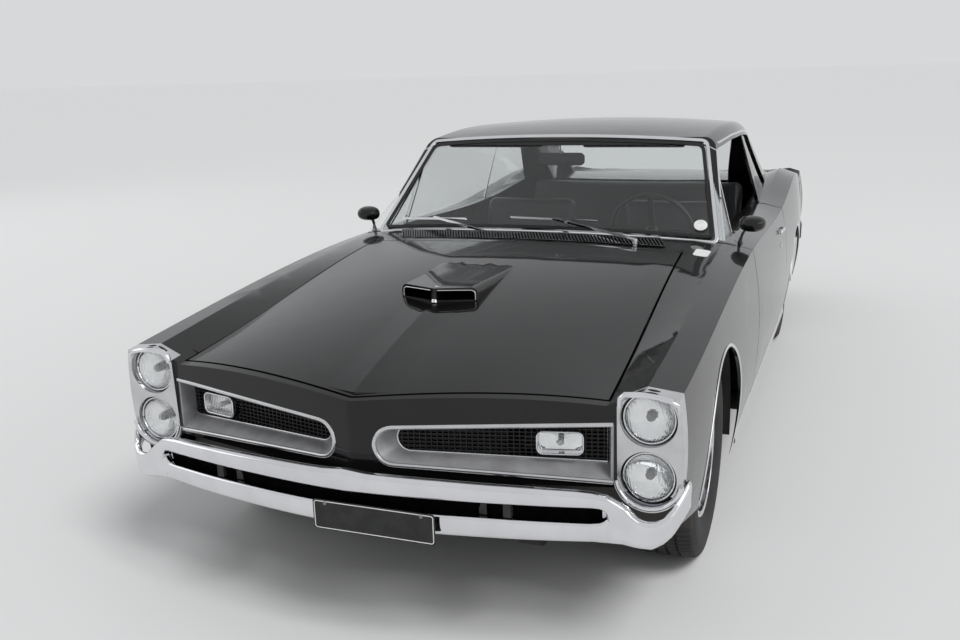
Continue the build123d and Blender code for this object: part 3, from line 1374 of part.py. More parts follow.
with BuildPart() as knuckle_right:
    add(mirror(knuckle_left.part, about=Plane.XZ, mode=Mode.PRIVATE))
knuckle_right.part.label = "knuckle_right"
export_step(knuckle_right.part, "parts/knuckle_right.step")

# Pitman and idler arms, the relay rod that joins them, and the steering box
for name, side in (("pitman_arm", 1), ("idler_arm", -1)):
    with BuildPart() as lever:
        add(arm_plate(
            [
                (AXLE_FRONT + LEVER_HALF, side * PITMAN_Y + LEVER_HALF),
                (AXLE_FRONT - LEVER_LENGTH - LEVER_HALF, side * PITMAN_Y + LEVER_HALF),
                (AXLE_FRONT - LEVER_LENGTH - LEVER_HALF, side * PITMAN_Y - LEVER_HALF),
                (AXLE_FRONT + LEVER_HALF, side * PITMAN_Y - LEVER_HALF),
            ],
            LEVER_Z,
            LEVER_THICK,
        ))
        with BuildSketch(Plane.XY.offset(LEVER_Z + LEVER_THICK)):
            with Locations((AXLE_FRONT - LEVER_LENGTH, side * PITMAN_Y)):
                Circle(JOINT_R)
        extrude(amount=RELAY_GAP + RELAY_THICK)
        with BuildSketch(Plane.XY.offset(LEVER_Z + LEVER_THICK)):
            with Locations((AXLE_FRONT, side * PITMAN_Y)):
                Circle(PIVOT_R)
        extrude(amount=PIVOT_LENGTH)
    lever.part.label = name
    export_step(lever.part, f"parts/{name}.step")

with BuildPart() as relay_rod:
    add(box_between(
        (AXLE_FRONT - LEVER_LENGTH - LEVER_HALF, -kingpin_y - LEVER_HALF, LEVER_Z + LEVER_THICK + RELAY_GAP),
        (AXLE_FRONT - LEVER_LENGTH + LEVER_HALF, kingpin_y + LEVER_HALF, LEVER_Z + LEVER_THICK + RELAY_GAP + RELAY_THICK)))
    with BuildSketch(Plane.XY.offset(LEVER_Z)):
        with Locations(*[(AXLE_FRONT - LEVER_LENGTH, y) for y in (kingpin_y, PITMAN_Y, -PITMAN_Y, -kingpin_y)]):
            Circle(JOINT_R + STUD_CLEARANCE)
    extrude(amount=OUTSIDE, mode=Mode.SUBTRACT)
relay_rod.part.label = "relay_rod"
export_step(relay_rod.part, "parts/relay_rod.step")

with BuildPart() as steering_box:
    for side in (1, -1):
        ys = sorted((side * (PITMAN_Y - BOX_HALF), side * BOX_OUTER))
        add(box_between((AXLE_FRONT - BOX_HALF, ys[0], LEVER_Z + LEVER_THICK + PIVOT_GAP), (AXLE_FRONT + BOX_HALF, ys[1], BOX_TOP)))
        ys = sorted((side * RAIL_FACE, side * BOX_OUTER))
        add(box_between((AXLE_FRONT - BOX_HALF, ys[0], FLOOR), (AXLE_FRONT + BOX_HALF, ys[1], BOX_TOP)))
    with BuildSketch(Plane.XY.offset(LEVER_Z)):
        with Locations((AXLE_FRONT, PITMAN_Y), (AXLE_FRONT, -PITMAN_Y)):
            Circle(PIVOT_R + STUD_CLEARANCE)
    extrude(amount=LEVER_THICK + PIVOT_LENGTH + PIVOT_GAP, mode=Mode.SUBTRACT)
steering_box.part.label = "steering_box"
export_step(steering_box.part, "parts/steering_box.step")


def wheel_plane(axle_x, side, track):
    """Plane through the wheel's axis: its X runs outward along the axle and its Y runs up."""
    return Plane(origin=(axle_x, side * track / 2, TYRE_RADIUS), x_dir=(0, side, 0), z_dir=(side, 0, 0))


# Tyres and wheels
for end, axle_x, track in (("front", AXLE_FRONT, TRACK_FRONT), ("rear", AXLE_REAR, TRACK_REAR)):
    for hand, side in (("left", 1), ("right", -1)):
        face = wheel_plane(axle_x, side, track)
        spin = Axis(face.origin, (0, 1, 0))
        half = TYRE_WIDTH / 2
        with BuildPart() as tyre:
            with BuildSketch(face) as section:
                with BuildLine():
                    Line((-RIM_WIDTH / 2, RIM_RADIUS), (RIM_WIDTH / 2, RIM_RADIUS))
                    Polyline((-half + TREAD_EDGE, TYRE_RADIUS), (half - TREAD_EDGE, TYRE_RADIUS))
                    for sign in (1, -1):
                        Polyline(
                            (sign * RIM_WIDTH / 2, RIM_RADIUS),
                            (sign * RIM_WIDTH / 2, FLANGE_R),
                            (sign * FLANGE_OUT, FLANGE_R),
                        )
                        ThreePointArc(
                            (sign * FLANGE_OUT, FLANGE_R),
                            (sign * half, (FLANGE_R + TYRE_RADIUS) / 2),
                            (sign * (half - SHOULDER_IN), TYRE_RADIUS - SHOULDER_DROP),
                        )
                        Line((sign * (half - SHOULDER_IN), TYRE_RADIUS - SHOULDER_DROP), (sign * (half - TREAD_EDGE), TYRE_RADIUS))
                make_face()
            revolve(section.sketch, axis=spin)
        tyre.part.label = f"tyre_{end}_{hand}"
        export_step(tyre.part, f"parts/tyre_{end}_{hand}.step")

        with BuildPart() as wheel:
            with BuildSketch(face) as section:
                with BuildLine():
                    Polyline(*WHEEL_SECTION, close=True)
                make_face()
            revolve(section.sketch, axis=spin)
            with BuildSketch(Plane(origin=face.origin, x_dir=(1, 0, 0), z_dir=(0, side, 0)).offset(DISC_BACK)) as windows:
                with PolarLocations(WINDOW_RADIUS, WHEEL_SPOKES, start_angle=90 - 180 / WHEEL_SPOKES):
                    SlotOverall(WINDOW_LENGTH, WINDOW_WIDTH, rotation=90)
            extrude(windows.sketch, amount=OUTSIDE / 5, mode=Mode.SUBTRACT)
        wheel.part.label = f"wheel_{end}_{hand}"
        export_step(wheel.part, f"parts/wheel_{end}_{hand}.step")

# Steering column and wheel, both along the column's slope
column_plane = Plane(origin=COLUMN_TOP, x_dir=(0, 1, 0), z_dir=COLUMN_SLOPE)
with BuildPart() as steering_column:
    with BuildSketch(column_plane.offset(-COLUMN_GAP)):
        Circle(COLUMN_R)
    extrude(amount=-COLUMN_LENGTH)
    add(dashboard.part, mode=Mode.SUBTRACT)
    firewall_rear = FIREWALL_X - FLOOR_SHEET
    add(box_between((firewall_rear, -OUTSIDE, 0), (3 * OUTSIDE, OUTSIDE, OUTSIDE)), mode=Mode.SUBTRACT)
steering_column.part.label = "steering_column"
export_step(steering_column.part, "parts/steering_column.step")

with BuildPart() as steering_wheel:
    with BuildSketch(column_plane):
        Circle(HUB_R)
    extrude(amount=HUB_LENGTH)
    with BuildSketch(column_plane.offset(HUB_LENGTH - SPOKE_THICK)):
        for angle in SPOKE_ANGLES:
            with Locations(Rotation(0, 0, angle) * Location((STEER_R / 2, 0, 0))):
                Rectangle(STEER_R, SPOKE_WIDTH)
    extrude(amount=SPOKE_THICK)
    with Locations(column_plane.offset(HUB_LENGTH - SPOKE_THICK / 2).location):
        Torus(STEER_R, STEER_RIM)
steering_wheel.part.label = "steering_wheel"
export_step(steering_wheel.part, "parts/steering_wheel.step")

# Wipers: pivots on the cowl, arms and blades lying on the windshield
with BuildPart() as wipers:
    for pivot, tip, blade in WIPERS:
        with BuildSketch(Plane.XY.offset(WIPER_FOOT)):
            with Locations(pivot[:2]):
                Circle(WIPER_PIVOT_R)
        extrude(amount=pivot[2] - WIPER_FOOT)
        arm_line = Plane(origin=pivot, x_dir=(0, 0, 1), z_dir=Vector(*tip) - Vector(*pivot))
        with BuildSketch(arm_line):
            Rectangle(WIPER_THICK, WIPER_WIDTH)
        extrude(amount=(Vector(*tip) - Vector(*pivot)).length)
        blade_line = Plane(origin=blade[0], x_dir=(0, 0, 1), z_dir=Vector(*blade[1]) - Vector(*blade[0]))
        with BuildSketch(blade_line):
            Rectangle(WIPER_THICK, WIPER_WIDTH)
        extrude(amount=(Vector(*blade[1]) - Vector(*blade[0])).length)
    add(body_outer.part, mode=Mode.SUBTRACT)
wipers.part.label = "wipers"
export_step(wipers.part, "parts/wipers.step")

# Door mirrors: a rounded head on a short stalk
with BuildPart() as mirror_left:
    with BuildSketch(Plane.YZ.offset(MIRROR_X)) as back:
        with Locations((MIRROR_Y, MIRROR_Z)):
            RectangleRounded(MIRROR_WIDTH, MIRROR_HEIGHT, MIRROR_ROUND)
    with BuildSketch(Plane.YZ.offset(MIRROR_X + MIRROR_DEPTH)) as nose:
        with Locations((MIRROR_Y, MIRROR_Z)):
            RectangleRounded(MIRROR_WIDTH * 0.6, MIRROR_HEIGHT * 0.6, MIRROR_ROUND * 0.6)
    loft([back.sketch, nose.sketch])
    stalk_way = Vector(MIRROR_X + MIRROR_DEPTH / 3, MIRROR_Y, MIRROR_Z) - Vector(*MIRROR_FOOT)
    with BuildSketch(Plane(origin=MIRROR_FOOT, x_dir=(1, 0, 0), z_dir=stalk_way)) as stalk:
        Circle(MIRROR_STALK_R)
    extrude(stalk.sketch, amount=MIRROR_STALK)
    add(body_outer.part, mode=Mode.SUBTRACT)
mirror_left.part.label = "mirror_left"
export_step(mirror_left.part, "parts/mirror_left.step")

with BuildPart() as mirror_right:
    add(mirror(mirror_left.part, about=Plane.XZ, mode=Mode.PRIVATE))
mirror_right.part.label = "mirror_right"
export_step(mirror_right.part, "parts/mirror_right.step")
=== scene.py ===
"""Looks of a black two-door hardtop car: finishes, trim, lamps, tyres, cabin, lights and camera.

Metres. +X points forward, +Y to the car's left and +Z up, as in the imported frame.
"""

from __future__ import annotations

import json
import logging
import math
from collections.abc import Iterable, Sequence
from dataclasses import dataclass, field
from enum import Enum
from functools import cache

import bmesh
import bpy
from mathutils import Euler, Matrix, Vector
from mathutils.bvhtree import BVHTree

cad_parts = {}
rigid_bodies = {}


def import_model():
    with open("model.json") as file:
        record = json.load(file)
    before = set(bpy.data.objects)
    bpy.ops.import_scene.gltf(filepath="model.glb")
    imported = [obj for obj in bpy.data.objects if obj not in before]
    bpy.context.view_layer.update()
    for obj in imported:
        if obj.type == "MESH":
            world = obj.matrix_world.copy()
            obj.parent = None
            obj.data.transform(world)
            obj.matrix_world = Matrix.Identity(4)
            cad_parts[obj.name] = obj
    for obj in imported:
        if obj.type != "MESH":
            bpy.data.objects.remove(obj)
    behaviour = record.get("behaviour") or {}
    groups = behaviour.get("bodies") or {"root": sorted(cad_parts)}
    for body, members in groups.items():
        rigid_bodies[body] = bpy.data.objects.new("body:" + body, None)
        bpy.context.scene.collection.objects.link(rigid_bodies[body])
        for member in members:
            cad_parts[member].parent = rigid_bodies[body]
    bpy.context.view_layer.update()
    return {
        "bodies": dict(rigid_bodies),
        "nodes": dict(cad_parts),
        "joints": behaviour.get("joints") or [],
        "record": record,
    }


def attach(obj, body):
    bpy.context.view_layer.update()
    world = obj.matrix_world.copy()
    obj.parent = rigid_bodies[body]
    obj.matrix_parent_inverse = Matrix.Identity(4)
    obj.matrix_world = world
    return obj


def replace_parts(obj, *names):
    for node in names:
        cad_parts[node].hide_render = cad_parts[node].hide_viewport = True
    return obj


LOG = logging.getLogger("scene")

MM = 0.001
ROOT = "car_body"
FOLD = 28
DOUBLES = 1e-5
HANDS = (("left", 1), ("right", -1))
AHEAD, BACK, UP = (1, 0, 0), (-1, 0, 0), (0, 0, 1)

AXLE_FRONT = 1.6905
AXLE_REAR = -1.2305

Point = Sequence[float]
Spot = tuple[float, float, float]
Section = Sequence[tuple[float, float]]
Pairs = tuple[tuple[float, float], ...]


class Pattern(Enum):
    """Texture that gives a finish its relief."""

    GRAIN = "ShaderNodeTexNoise"
    CELLS = "ShaderNodeTexVoronoi"
    FLUTES = "ShaderNodeTexWave"


@dataclass(frozen=True)
class Finish:
    """How one material looks. Colours are linear and scales are repeats a metre.

    Attributes:
        slot: Material slot of the record that the finish belongs to.
        color: Base colour.
        roughness: Mean roughness.
        metallic: 1 for bare metal.
        tint: Second colour that blotches drift towards.
        tint_scale: Scale of those blotches.
        wear: How far the roughness drifts.
        bump: Strength of the relief.
        bump_scale: Scale of the relief.
        pattern: Texture of the relief.
        stretch: Scale of the coordinates along each axis.
        coat: Weight of the clear coat.
        sheen: Weight of the sheen.
        transmission: 1 for clear glass.
        specular: Level of the base layer's gloss.
    """

    slot: str
    color: Spot
    roughness: float
    metallic: float = 0.0
    tint: Spot | None = None
    tint_scale: float = 9.0
    wear: float = 0.0
    bump: float = 0.0
    bump_scale: float = 400.0
    pattern: Pattern = Pattern.GRAIN
    stretch: Spot = (1.0, 1.0, 1.0)
    coat: float = 0.0
    sheen: float = 0.0
    transmission: float = 0.0
    specular: float = 0.5

    def material(self, name: str) -> bpy.types.Material:
        """Builds the procedural material.

        Args:
            name: Name of the material.

        Returns:
            The material, with its blotches, wear and relief in Object coordinates.
        """
        material = bpy.data.materials.new(name)
        material.use_nodes = True
        tree = material.node_tree
        shader = tree.nodes["Principled BSDF"]
        sockets = {
            "Base Color": (*self.color, 1.0),
            "Roughness": self.roughness,
            "Metallic": self.metallic,
            "Coat Weight": self.coat,
            "Coat Roughness": 0.03,
            "Sheen Weight": self.sheen,
            "Transmission Weight": self.transmission,
            "IOR": 1.45,
            "Specular IOR Level": self.specular,
        }
        for socket, value in sockets.items():
            shader.inputs[socket].default_value = value
        coordinates = tree.nodes.new("ShaderNodeTexCoord").outputs["Object"]
        if self.tint or self.wear:
            self._drift(tree, shader, coordinates)
        if self.bump:
            self._relief(tree, shader, coordinates)
        return material

    def _drift(
        self, tree: bpy.types.NodeTree, shader: bpy.types.Node, coordinates: bpy.types.NodeSocket
    ) -> None:
        """Lets the colour and the roughness drift in blotches.

        Args:
            tree: Node tree of the material.
            shader: Its shader.
            coordinates: Socket that gives the place.
        """
        blotch = tree.nodes.new("ShaderNodeTexNoise")
        blotch.inputs["Scale"].default_value = self.tint_scale
        blotch.inputs["Detail"].default_value = 6.0
        tree.links.new(coordinates, blotch.inputs["Vector"])
        if self.tint:
            ramp = tree.nodes.new("ShaderNodeValToRGB")
            for element, place, color in zip(ramp.color_ramp.elements, (0.38, 0.68), (self.color, self.tint)):
                element.position = place
                element.color = (*color, 1.0)
            tree.links.new(blotch.outputs["Fac"], ramp.inputs["Fac"])
            tree.links.new(ramp.outputs["Color"], shader.inputs["Base Color"])
        if self.wear:
            spread = tree.nodes.new("ShaderNodeMapRange")
            spread.inputs["From Min"].default_value = 0.35
            spread.inputs["From Max"].default_value = 0.7
            spread.inputs["To Min"].default_value = max(self.roughness - self.wear / 2, 0.01)
            spread.inputs["To Max"].default_value = self.roughness + self.wear / 2
            tree.links.new(blotch.outputs["Fac"], spread.inputs["Value"])
            tree.links.new(spread.outputs["Result"], shader.inputs["Roughness"])

    def _relief(
        self, tree: bpy.types.NodeTree, shader: bpy.types.Node, coordinates: bpy.types.NodeSocket
    ) -> None:
        """Gives the surface its fine relief.

        Args:
            tree: Node tree of the material.
            shader: Its shader.
            coordinates: Socket that gives the place.
        """
        mapping = tree.nodes.new("ShaderNodeMapping")
        mapping.inputs["Scale"].default_value = self.stretch
        tree.links.new(coordinates, mapping.inputs["Vector"])
        relief = tree.nodes.new(self.pattern.value)
        relief.inputs["Scale"].default_value = self.bump_scale
        if self.pattern is Pattern.FLUTES:
            relief.bands_direction = "Y"
        tree.links.new(mapping.outputs["Vector"], relief.inputs["Vector"])
        bump = tree.nodes.new("ShaderNodeBump")
        bump.inputs["Strength"].default_value = self.bump
        bump.inputs["Distance"].default_value = 0.0015
        height = "Distance" if self.pattern is Pattern.CELLS else "Fac"
        tree.links.new(relief.outputs[height], bump.inputs["Height"])
        tree.links.new(bump.outputs["Normal"], shader.inputs["Normal"])


FINISHES = {
    "gloss_black": Finish(
        "paint", (0.003, 0.003, 0.0034), 0.3, tint=(0.007, 0.007, 0.0075), tint_scale=2.5, wear=0.07,
        bump=0.02, bump_scale=5, coat=0.8, specular=0.03,
    ),
    "chrome_plate": Finish(
        "chrome", (0.78, 0.78, 0.80), 0.06, 1.0, tint=(0.72, 0.72, 0.74), wear=0.04, bump=0.03, bump_scale=7,
    ),
    "satin_metal": Finish(
        "chrome", (0.66, 0.66, 0.67), 0.24, 1.0, tint=(0.60, 0.60, 0.61), tint_scale=20, wear=0.06,
        bump=0.05, bump_scale=80,
    ),
    "clear_glass": Finish("glass", (0.93, 0.95, 0.95), 0.015, transmission=1.0, wear=0.02, tint_scale=6),
    "lamp_glass": Finish(
        "lamp", (0.96, 0.97, 0.97), 0.01, transmission=1.0, wear=0.01, bump=0.35, bump_scale=42,
        pattern=Pattern.FLUTES, stretch=(0.0, 1.0, 0.0),
    ),
    "reflector": Finish(
        "chrome", (0.90, 0.90, 0.90), 0.05, 1.0, tint=(0.80, 0.80, 0.81), tint_scale=20, wear=0.03,
    ),
    "rubber": Finish(
        "tyre", (0.018, 0.018, 0.019), 0.78, tint=(0.036, 0.035, 0.034), tint_scale=16, wear=0.12,
        bump=0.25, bump_scale=700,
    ),
    # Painted shade: flat, matte black for sheets that stand in for the shade in the bumper's slot, the cowl's
    # louvre slots and the tailpipe bores.
    "painted_shade_black": Finish(
        "trim_black", (0.002, 0.002, 0.002), 0.9, tint=(0.004, 0.004, 0.004), tint_scale=30,
        bump=0.1, bump_scale=300, specular=0.0,
    ),
    "seal": Finish("trim_black", (0.012, 0.012, 0.012), 0.6, wear=0.1, bump=0.2, bump_scale=500),
    "polished_wheel": Finish(
        "wheel", (0.72, 0.72, 0.74), 0.13, 1.0, tint=(0.5, 0.5, 0.52), tint_scale=30, wear=0.12,
        bump=0.05, bump_scale=60,
    ),
    "vinyl": Finish(
        "vinyl", (0.014, 0.014, 0.016), 0.36, tint=(0.026, 0.026, 0.028), tint_scale=11, wear=0.12,
        bump=0.35, bump_scale=900, pattern=Pattern.CELLS, sheen=0.1,
    ),
    # Piping: the seats' black vinyl painted lighter, a painted sheen that stands in for the highlights along
    # the seams.
    "piping": Finish("vinyl", (0.07, 0.07, 0.072), 0.3, wear=0.1, bump=0.1, bump_scale=300),
    "carpet": Finish(
        "trim_black", (0.012, 0.012, 0.013), 0.95, tint=(0.03, 0.03, 0.03), tint_scale=60,
        bump=0.9, bump_scale=500, sheen=0.4,
    ),
    "headliner": Finish(
        "trim_black", (0.05, 0.05, 0.052), 0.9, tint=(0.07, 0.07, 0.07), tint_scale=14,
        bump=0.5, bump_scale=420, pattern=Pattern.CELLS,
    ),
    "dash_plastic": Finish(
        "trim_black", (0.013, 0.013, 0.014), 0.38, tint=(0.03, 0.03, 0.03), tint_scale=8, wear=0.1,
        bump=0.25, bump_scale=650, pattern=Pattern.CELLS,
    ),
    "chassis_black": Finish(
        "chassis", (0.02, 0.02, 0.02), 0.62, tint=(0.055, 0.048, 0.042), tint_scale=7, wear=0.2,
        bump=0.3, bump_scale=120,
    ),
    "grille_grey": Finish(
        "grille", (0.33, 0.33, 0.335), 0.36, 0.35, tint=(0.42, 0.42, 0.43), tint_scale=18, wear=0.1,
        bump=0.12, bump_scale=260,
    ),
    "mesh_black": Finish(
        "mesh", (0.008, 0.008, 0.008), 0.45, tint=(0.02, 0.02, 0.02), tint_scale=30, wear=0.15,
        bump=0.2, bump_scale=300,
    ),
    "tail_lens": Finish(
        "tail_lens", (0.32, 0.012, 0.012), 0.12, tint=(0.22, 0.008, 0.008), tint_scale=12,
        bump=0.5, bump_scale=70, pattern=Pattern.FLUTES, stretch=(0.0, 1.0, 0.0), coat=0.6,
    ),
    "engine_paint": Finish(
        "engine", (0.10, 0.13, 0.16), 0.5, tint=(0.05, 0.05, 0.05), tint_scale=6, wear=0.2,
        bump=0.5, bump_scale=90,
    ),
    "steel": Finish(
        "steel", (0.38, 0.37, 0.36), 0.45, 1.0, tint=(0.20, 0.17, 0.15), tint_scale=8, wear=0.2,
        bump=0.2, bump_scale=150,
    ),
    "radiator_black": Finish(
        "trim_black", (0.015, 0.015, 0.015), 0.6, tint=(0.04, 0.04, 0.04),
        bump=0.9, bump_scale=90, pattern=Pattern.FLUTES, stretch=(0.0, 1.0, 0.0),
    ),
    "plate_black": Finish(
        "trim_black", (0.008, 0.008, 0.009), 0.35, tint=(0.02, 0.02, 0.02), tint_scale=25, wear=0.1,
        bump=0.05, bump_scale=200,
    ),
    "white_enamel": Finish(
        "trim_black", (0.78, 0.78, 0.77), 0.4, tint=(0.66, 0.66, 0.65), tint_scale=30, wear=0.1,
        bump=0.05, bump_scale=300,
    ),
    "mirror_glass": Finish("chrome", (0.9, 0.9, 0.92), 0.02, 1.0, tint=(0.85, 0.86, 0.88), wear=0.02),
}

NODE_FINISH = {
    "gloss_black": "hood front_fenders cowl_panel nose_panel door_left door_right quarter_panels "
                   "rocker_panels deck_panel decklid tail_panel roof_panel mirror_left mirror_right",
    "satin_metal": "headlamp_bezels",
    "chrome_plate": "vent_frame_left vent_frame_right wipers front_bumper rear_bumper",
    "clear_glass": "windshield rear_glass quarter_glass door_glass_left door_glass_right",
    "grille_grey": "grille_surrounds",
    "mesh_black": "grille_mesh",
    "tail_lens": "tail_lamps",
    "lamp_glass": "front_lamps",
    "rubber": "tyre_front_left tyre_front_right tyre_rear_left tyre_rear_right",
    "polished_wheel": "wheel_front_left wheel_front_right wheel_rear_left wheel_rear_right",
    "vinyl": "front_seats rear_seat",
    "dash_plastic": "dashboard steering_column steering_wheel",
    "radiator_black": "radiator",
    "engine_paint": "engine",
    "steel": "exhaust fuel_tank",
    "chassis_black": "chassis_frame floor_pan front_suspension front_wheelhouses rear_wheelhouses rear_axle "
                     "knuckle_left knuckle_right pitman_arm idler_arm relay_rod steering_box",
}

SMOOTH_NODES = (
    "hood front_fenders cowl_panel nose_panel door_left door_right quarter_panels rocker_panels "
    "deck_panel decklid tail_panel roof_panel headlamp_bezels grille_surrounds steering_wheel "
    "wheel_front_left wheel_front_right wheel_rear_left wheel_rear_right"
).split()
SIDE_NODES = "front_fenders door_left door_right quarter_panels rocker_panels tail_panel roof_panel".split()


@cache
def material_of(name: str) -> bpy.types.Material:
    """Finds the material of a finish, and makes it on its first use.

    Args:
        name: Name of the finish.

    Returns:
        Its material.
    """
    return FINISHES[name].material(name)


@dataclass
class Shape:
    """Mesh data of one piece before it becomes an object."""

    verts: list[Vector] = field(default_factory=list)
    faces: list[tuple[int, ...]] = field(default_factory=list)

    def add(self, other: Shape) -> Shape:
        """Joins another shape to this one.

        Args:
            other: The shape that is joined.

        Returns:
            This shape.
        """
        start = len(self.verts)
        self.verts += other.verts
        self.faces += [tuple(i + start for i in face) for face in other.faces]
        return self

    def mirrored(self) -> Shape:
        """Returns the mirror image on the other side of the car."""
        verts = [Vector((v.x, -v.y, v.z)) for v in self.verts]
        return Shape(verts, [tuple(reversed(face)) for face in self.faces])

    def both_sides(self) -> Shape:
        """Returns this shape joined with its mirror image."""
        return Shape(list(self.verts), list(self.faces)).add(self.mirrored())

    def on_side(self, sign: int) -> Shape:
        """Returns this shape for the left side, where the sign is 1, or its mirror image."""
        return self if sign > 0 else self.mirrored()

    def moved(self, matrix: Matrix) -> Shape:
        """Returns the shape carried by a matrix."""
        return Shape([matrix @ v for v in self.verts], list(self.faces))


@dataclass(frozen=True)
class Copies:
    """How Geometry Nodes repeat a shape. Turns are radians about each axis from one copy to the next.

    Attributes:
        count: How many copies there are.
        start: Place of the row's first copy, or of the ring's middle.
        step: Way from one copy to the next in a row.
        arm: Way from the ring's middle to its first copy.
        arm_turn: Turn of that arm.
        copy_turn: Turn of the copies themselves.
    """

    count: int
    start: Spot = (0.0, 0.0, 0.0)
    step: Spot = (0.0, 0.0, 0.0)
    arm: Spot = (0.0, 0.0, 0.0)
    arm_turn: Spot = (0.0, 0.0, 0.0)
    copy_turn: Spot = (0.0, 0.0, 0.0)


class CopyTree:
    """Geometry Nodes tree that repeats a mesh in a row, on a ring or round an axis."""

    VECTORS = ("Start", "Step", "Arm", "Arm Turn", "Copy Turn")

    def __init__(self) -> None:
        """Makes the named inputs and wires the tree."""
        self.tree = bpy.data.node_groups.new("copies", "GeometryNodeTree")
        face = self.tree.interface
        face.new_socket(name="Geometry", in_out="INPUT", socket_type="NodeSocketGeometry")
        face.new_socket(name="Count", in_out="INPUT", socket_type="NodeSocketInt")
        for name in self.VECTORS:
            face.new_socket(name=name, in_out="INPUT", socket_type="NodeSocketVector")
        face.new_socket(name="Material", in_out="INPUT", socket_type="NodeSocketMaterial")
        face.new_socket(name="Geometry", in_out="OUTPUT", socket_type="NodeSocketGeometry")
        self._inputs = self.tree.nodes.new("NodeGroupInput").outputs
        self._index = self.tree.nodes.new("GeometryNodeInputIndex").outputs["Index"]
        self._wire()

    def _by_index(self, name: str) -> bpy.types.NodeSocket:
        """Multiplies a vector input by the copy's number.

        Args:
            name: Name of the input.

        Returns:
            Socket of the product.
        """
        node = self.tree.nodes.new("ShaderNodeVectorMath")
        node.operation = "SCALE"
        self.tree.links.new(self._inputs[name], node.inputs[0])
        self.tree.links.new(self._index, node.inputs["Scale"])
        return node.outputs["Vector"]

    def _sum(self, first: bpy.types.NodeSocket, second: bpy.types.NodeSocket) -> bpy.types.NodeSocket:
        """Adds two vectors.

        Args:
            first: Socket of one vector.
            second: Socket of the other.

        Returns:
            Socket of the sum.
        """
        node = self.tree.nodes.new("ShaderNodeVectorMath")
        self.tree.links.new(first, node.inputs[0])
        self.tree.links.new(second, node.inputs[1])
        return node.outputs["Vector"]

    def _wire(self) -> None:
        """Joins the nodes from the inputs to the finished mesh."""
        nodes, link = self.tree.nodes, self.tree.links.new
        swing = nodes.new("ShaderNodeVectorRotate")
        swing.rotation_type = "EULER_XYZ"
        link(self._inputs["Arm"], swing.inputs["Vector"])
        link(self._by_index("Arm Turn"), swing.inputs["Rotation"])
        row = self._sum(self._inputs["Start"], self._by_index("Step"))
        points = nodes.new("GeometryNodePoints")
        link(self._inputs["Count"], points.inputs["Count"])
        link(self._sum(row, swing.outputs["Vector"]), points.inputs["Position"])
        turn = nodes.new("FunctionNodeEulerToRotation")
        link(self._by_index("Copy Turn"), turn.inputs["Euler"])
        copies = nodes.new("GeometryNodeInstanceOnPoints")
        link(points.outputs[0], copies.inputs["Points"])
        link(self._inputs["Geometry"], copies.inputs["Instance"])
        link(turn.outputs["Rotation"], copies.inputs["Rotation"])
        real = nodes.new("GeometryNodeRealizeInstances")
        link(copies.outputs["Instances"], real.inputs["Geometry"])
        paint = nodes.new("GeometryNodeSetMaterial")
        link(real.outputs["Geometry"], paint.inputs["Geometry"])
        link(self._inputs["Material"], paint.inputs["Material"])
        link(paint.outputs["Geometry"], nodes.new("NodeGroupOutput").inputs["Geometry"])

    def attach(self, obj: bpy.types.Object, copies: Copies, material: bpy.types.Material) -> None:
        """Gives an object the modifier that repeats its mesh.

        Args:
            obj: The object.
            copies: How its mesh is repeated.
            material: Material of the copies.
        """
        modifier = obj.modifiers.new("copies", "NODES")
        modifier.node_group = self.tree
        vectors = (copies.start, copies.step, copies.arm, copies.arm_turn, copies.copy_turn)
        values = {"Count": copies.count, "Material": material, **dict(zip(self.VECTORS, vectors))}
        for item in self.tree.interface.items_tree:
            if item.in_out == "INPUT" and item.name in values:
                modifier[item.identifier] = values[item.name]


@cache
def copy_tree() -> CopyTree:
    """Returns the one tree that repeats meshes, made on its first use."""
    return CopyTree()


class Skin:
    """Finds places on the outer surface of some CAD nodes."""

    def __init__(self, nodes: dict[str, bpy.types.Object], names: Iterable[str]) -> None:
        """Joins the nodes' meshes in one search tree.

        Args:
            nodes: All CAD nodes by name.
            names: The nodes that the skin is made of.
        """
        verts: list[Vector] = []
        faces: list[tuple[int, ...]] = []
        for name in names:
            start = len(verts)
            mesh = nodes[name].data
            verts += [v.co.copy() for v in mesh.vertices]
            faces += [tuple(i + start for i in p.vertices) for p in mesh.polygons]
        self._tree = BVHTree.FromPolygons(verts, faces)

    def _cast(self, start: Point, way: Point) -> Vector | None:
        """Returns the first point that a ray meets."""
        return self._tree.ray_cast(Vector(start), Vector(way))[0]

    def top(self, x: float, y: float) -> Vector | None:
        """Highest point over a place in plan."""
        return self._cast((x, y, 3.0), (0, 0, -1))

    def below(self, x: float, y: float) -> Vector | None:
        """Lowest point over the cabin at a place in plan."""
        return self._cast((x, y, 1.05), UP)

    def side(self, x: float, z: float) -> Vector | None:
        """Outermost point of the left side at a place in side view."""
        return self._cast((x, 3.0, z), (0, -1, 0))


class Car:
    """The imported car: its CAD nodes, the body of each and the skins that trim lies on."""

    def __init__(self, frame: dict) -> None:
        """Reads the frame and makes the skins.
        """
        self.nodes: dict[str, bpy.types.Object] = frame["nodes"]
        bodies = frame["record"]["behaviour"]["bodies"]
        self.body_of = {node: body for body, names in bodies.items() for node in names}
        self.sides = Skin(self.nodes, SIDE_NODES)
        self.cowl = Skin(self.nodes, ("cowl_panel", "front_fenders"))
        self.hood = Skin(self.nodes, ("hood",))
        self.roof = Skin(self.nodes, ("roof_panel",))


def new_object(name: str, data: bpy.types.ID) -> bpy.types.Object:
    """Links an object with some data into the scene.

    Args:
        name: Name of the object.
        data: Its mesh, lamp or camera.

    Returns:
        The object, at the origin.
    """
    obj = bpy.data.objects.new(name, data)
    bpy.context.scene.collection.objects.link(obj)
    return obj


